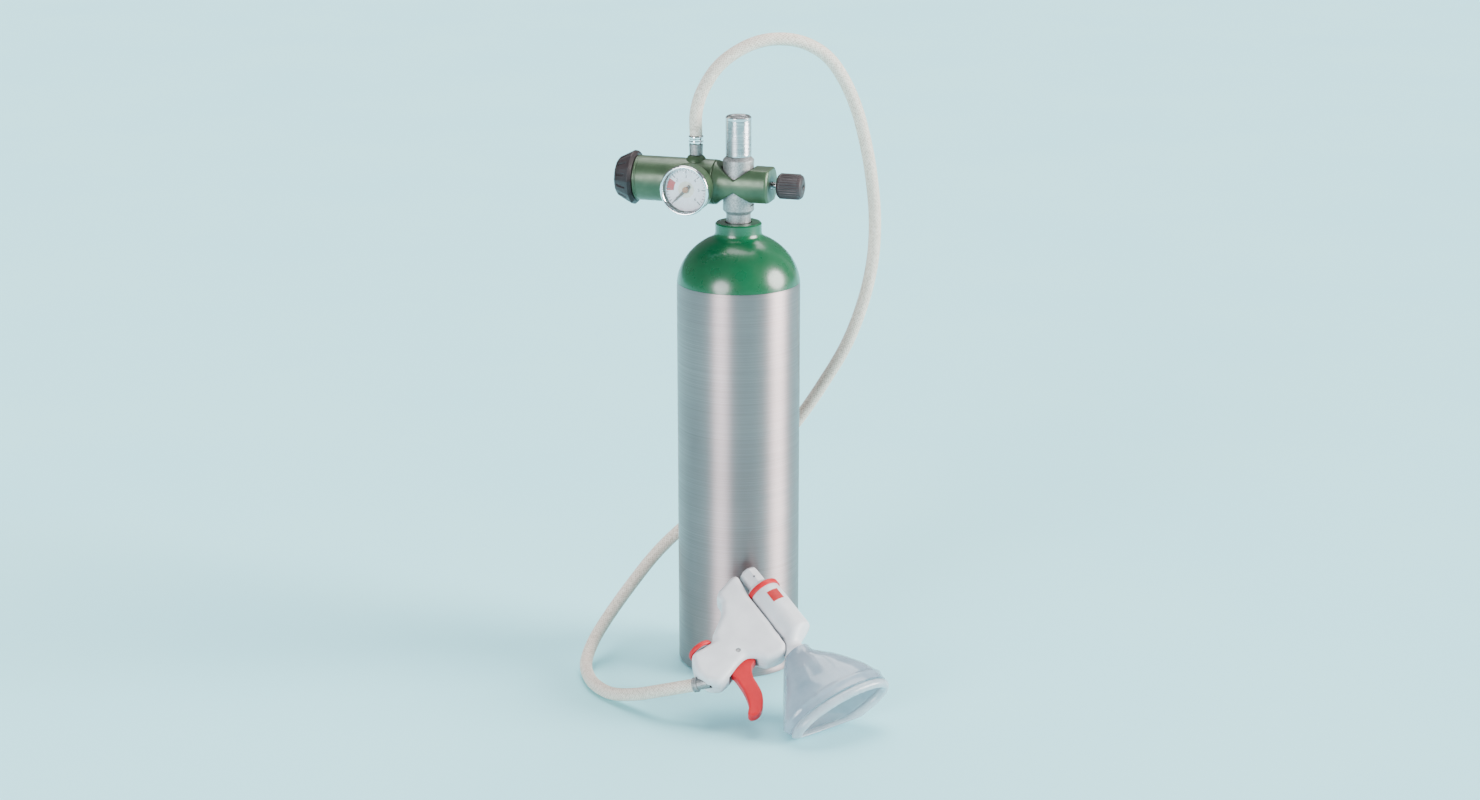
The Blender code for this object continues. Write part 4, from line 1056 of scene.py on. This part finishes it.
# How far along the barrel's axis, and the reach to the chin, the nose and each cheek
MASK_SECTIONS = [
    (69.6, 13.0, 13.0, 13.0),
    (76.0, 18.5, 14.0, 14.0),
    (83.0, 23.5, 20.5, 17.0),
    (92.0, 30.0, 29.5, 20.5),
    (102.0, 37.0, 37.0, 23.5),
    (113.0, 44.5, 44.0, 26.5),
    (125.0, 51.5, 48.5, 28.0),
    (134.5, 52.5, 49.5, 28.5),
]
FLOOR_CLEARANCE = 0.4
SQUASH_FROM, SQUASH_DEEPEST = 8.0, -12.5


def mask_section(s, chin, nose, cheek, count=96):
    """An egg-shaped section, wide at the chin and narrower at the nose."""
    points = []
    for i in range(count):
        angle = 2 * math.pi * i / count
        blend = 0.5 + 0.5 * math.tanh(6 * math.cos(angle))
        reach = nose + (chin - nose) * blend
        narrow = 1 + 0.14 * math.cos(angle) * min(1.0, (s - 69) / 40)
        points.append((s, OUTLET_OFFSET + reach * math.cos(angle), cheek * narrow * math.sin(angle)))
    return points


def rest_on_floor(made):
    """Flattens the mask's lowest part where it presses on what the set stands on."""
    share = (SQUASH_FROM - FLOOR_CLEARANCE) / (SQUASH_FROM - SQUASH_DEEPEST)
    for vertex in made.data.vertices:
        height = vertex.co.z / MM
        if height < SQUASH_FROM:
            vertex.co.z = (FLOOR_CLEARANCE + (height - SQUASH_DEEPEST) * share) * MM


def make_mask():
    """A clear dome with a moulded lip, a soft rolled rim and a collar on the barrel's outlet."""
    rows = []
    count, steps = len(MASK_SECTIONS), 8
    for i in range(count - 1):
        a, b = MASK_SECTIONS[max(i - 1, 0)], MASK_SECTIONS[i]
        c, d = MASK_SECTIONS[i + 1], MASK_SECTIONS[min(i + 2, count - 1)]
        for j in range(steps):
            rows.append([between(*four, j / steps) for four in zip(a, b, c, d)])
    rows.append(list(MASK_SECTIONS[-1]))
    rings = []
    for s, chin, nose, cheek in rows:
        lip = 1.3 * math.exp(-((s - 127.0) / 1.8) ** 2)
        rings.append(mask_section(s, chin + lip, nose + lip, cheek + lip))
    inner = [mask_section(s, chin - 1.5, nose - 1.5, cheek - 1.5) for s, chin, nose, cheek in rows]
    dome = skin("clear_dome", rings + inner[::-1], HAND, closed=True)
    rest_on_floor(dome)
    piece(dome, "mask", "mask_clear", "mask_dome", sharp=60)
    rim = [Vector(p) for p in mask_section(139.0, 48.2, 45.4, 24.2, 120)]
    cushion = swept("soft_rim", rim, 4.2, HAND, 24, True)
    rest_on_floor(cushion)
    piece(cushion, "mask", "silicone", "mask_cushion", sharp=60)
    collar = [(8.8, 69.4), (10.6, 69.4), (11.0, 69.9), (11.0, 72.0), (10.6, 72.6), (10.6, 73.4),
              (11.0, 74.0), (11.0, 79.5), (10.6, 80.0), (8.8, 80.0)]
    piece(turned("swivel_collar", collar, MASK_AXIS, 72, 0.2), "mask", "mask_clear",
          "mask_collar")


def finish_nodes():
    """Every CAD piece that still shows takes the material of its slot."""
    for part in frame["record"]["subparts"]:
        node = frame["nodes"][part["node"]]
        look = LOOKS[part["material_slot"]]
        if not node.material_slots:
            node.data.materials.append(look)
        for slot in node.material_slots:
            slot.material = look


set_camera()
make_hose()
set_stage()
make_cylinder()
make_valve()
make_yoke()
make_barrel()
make_flow_knob()
make_clamp()
make_gauge()
make_grip()
make_hand_barrel()
make_relief_spring()
make_trigger()
make_grip_end()
make_mask()
finish_nodes()
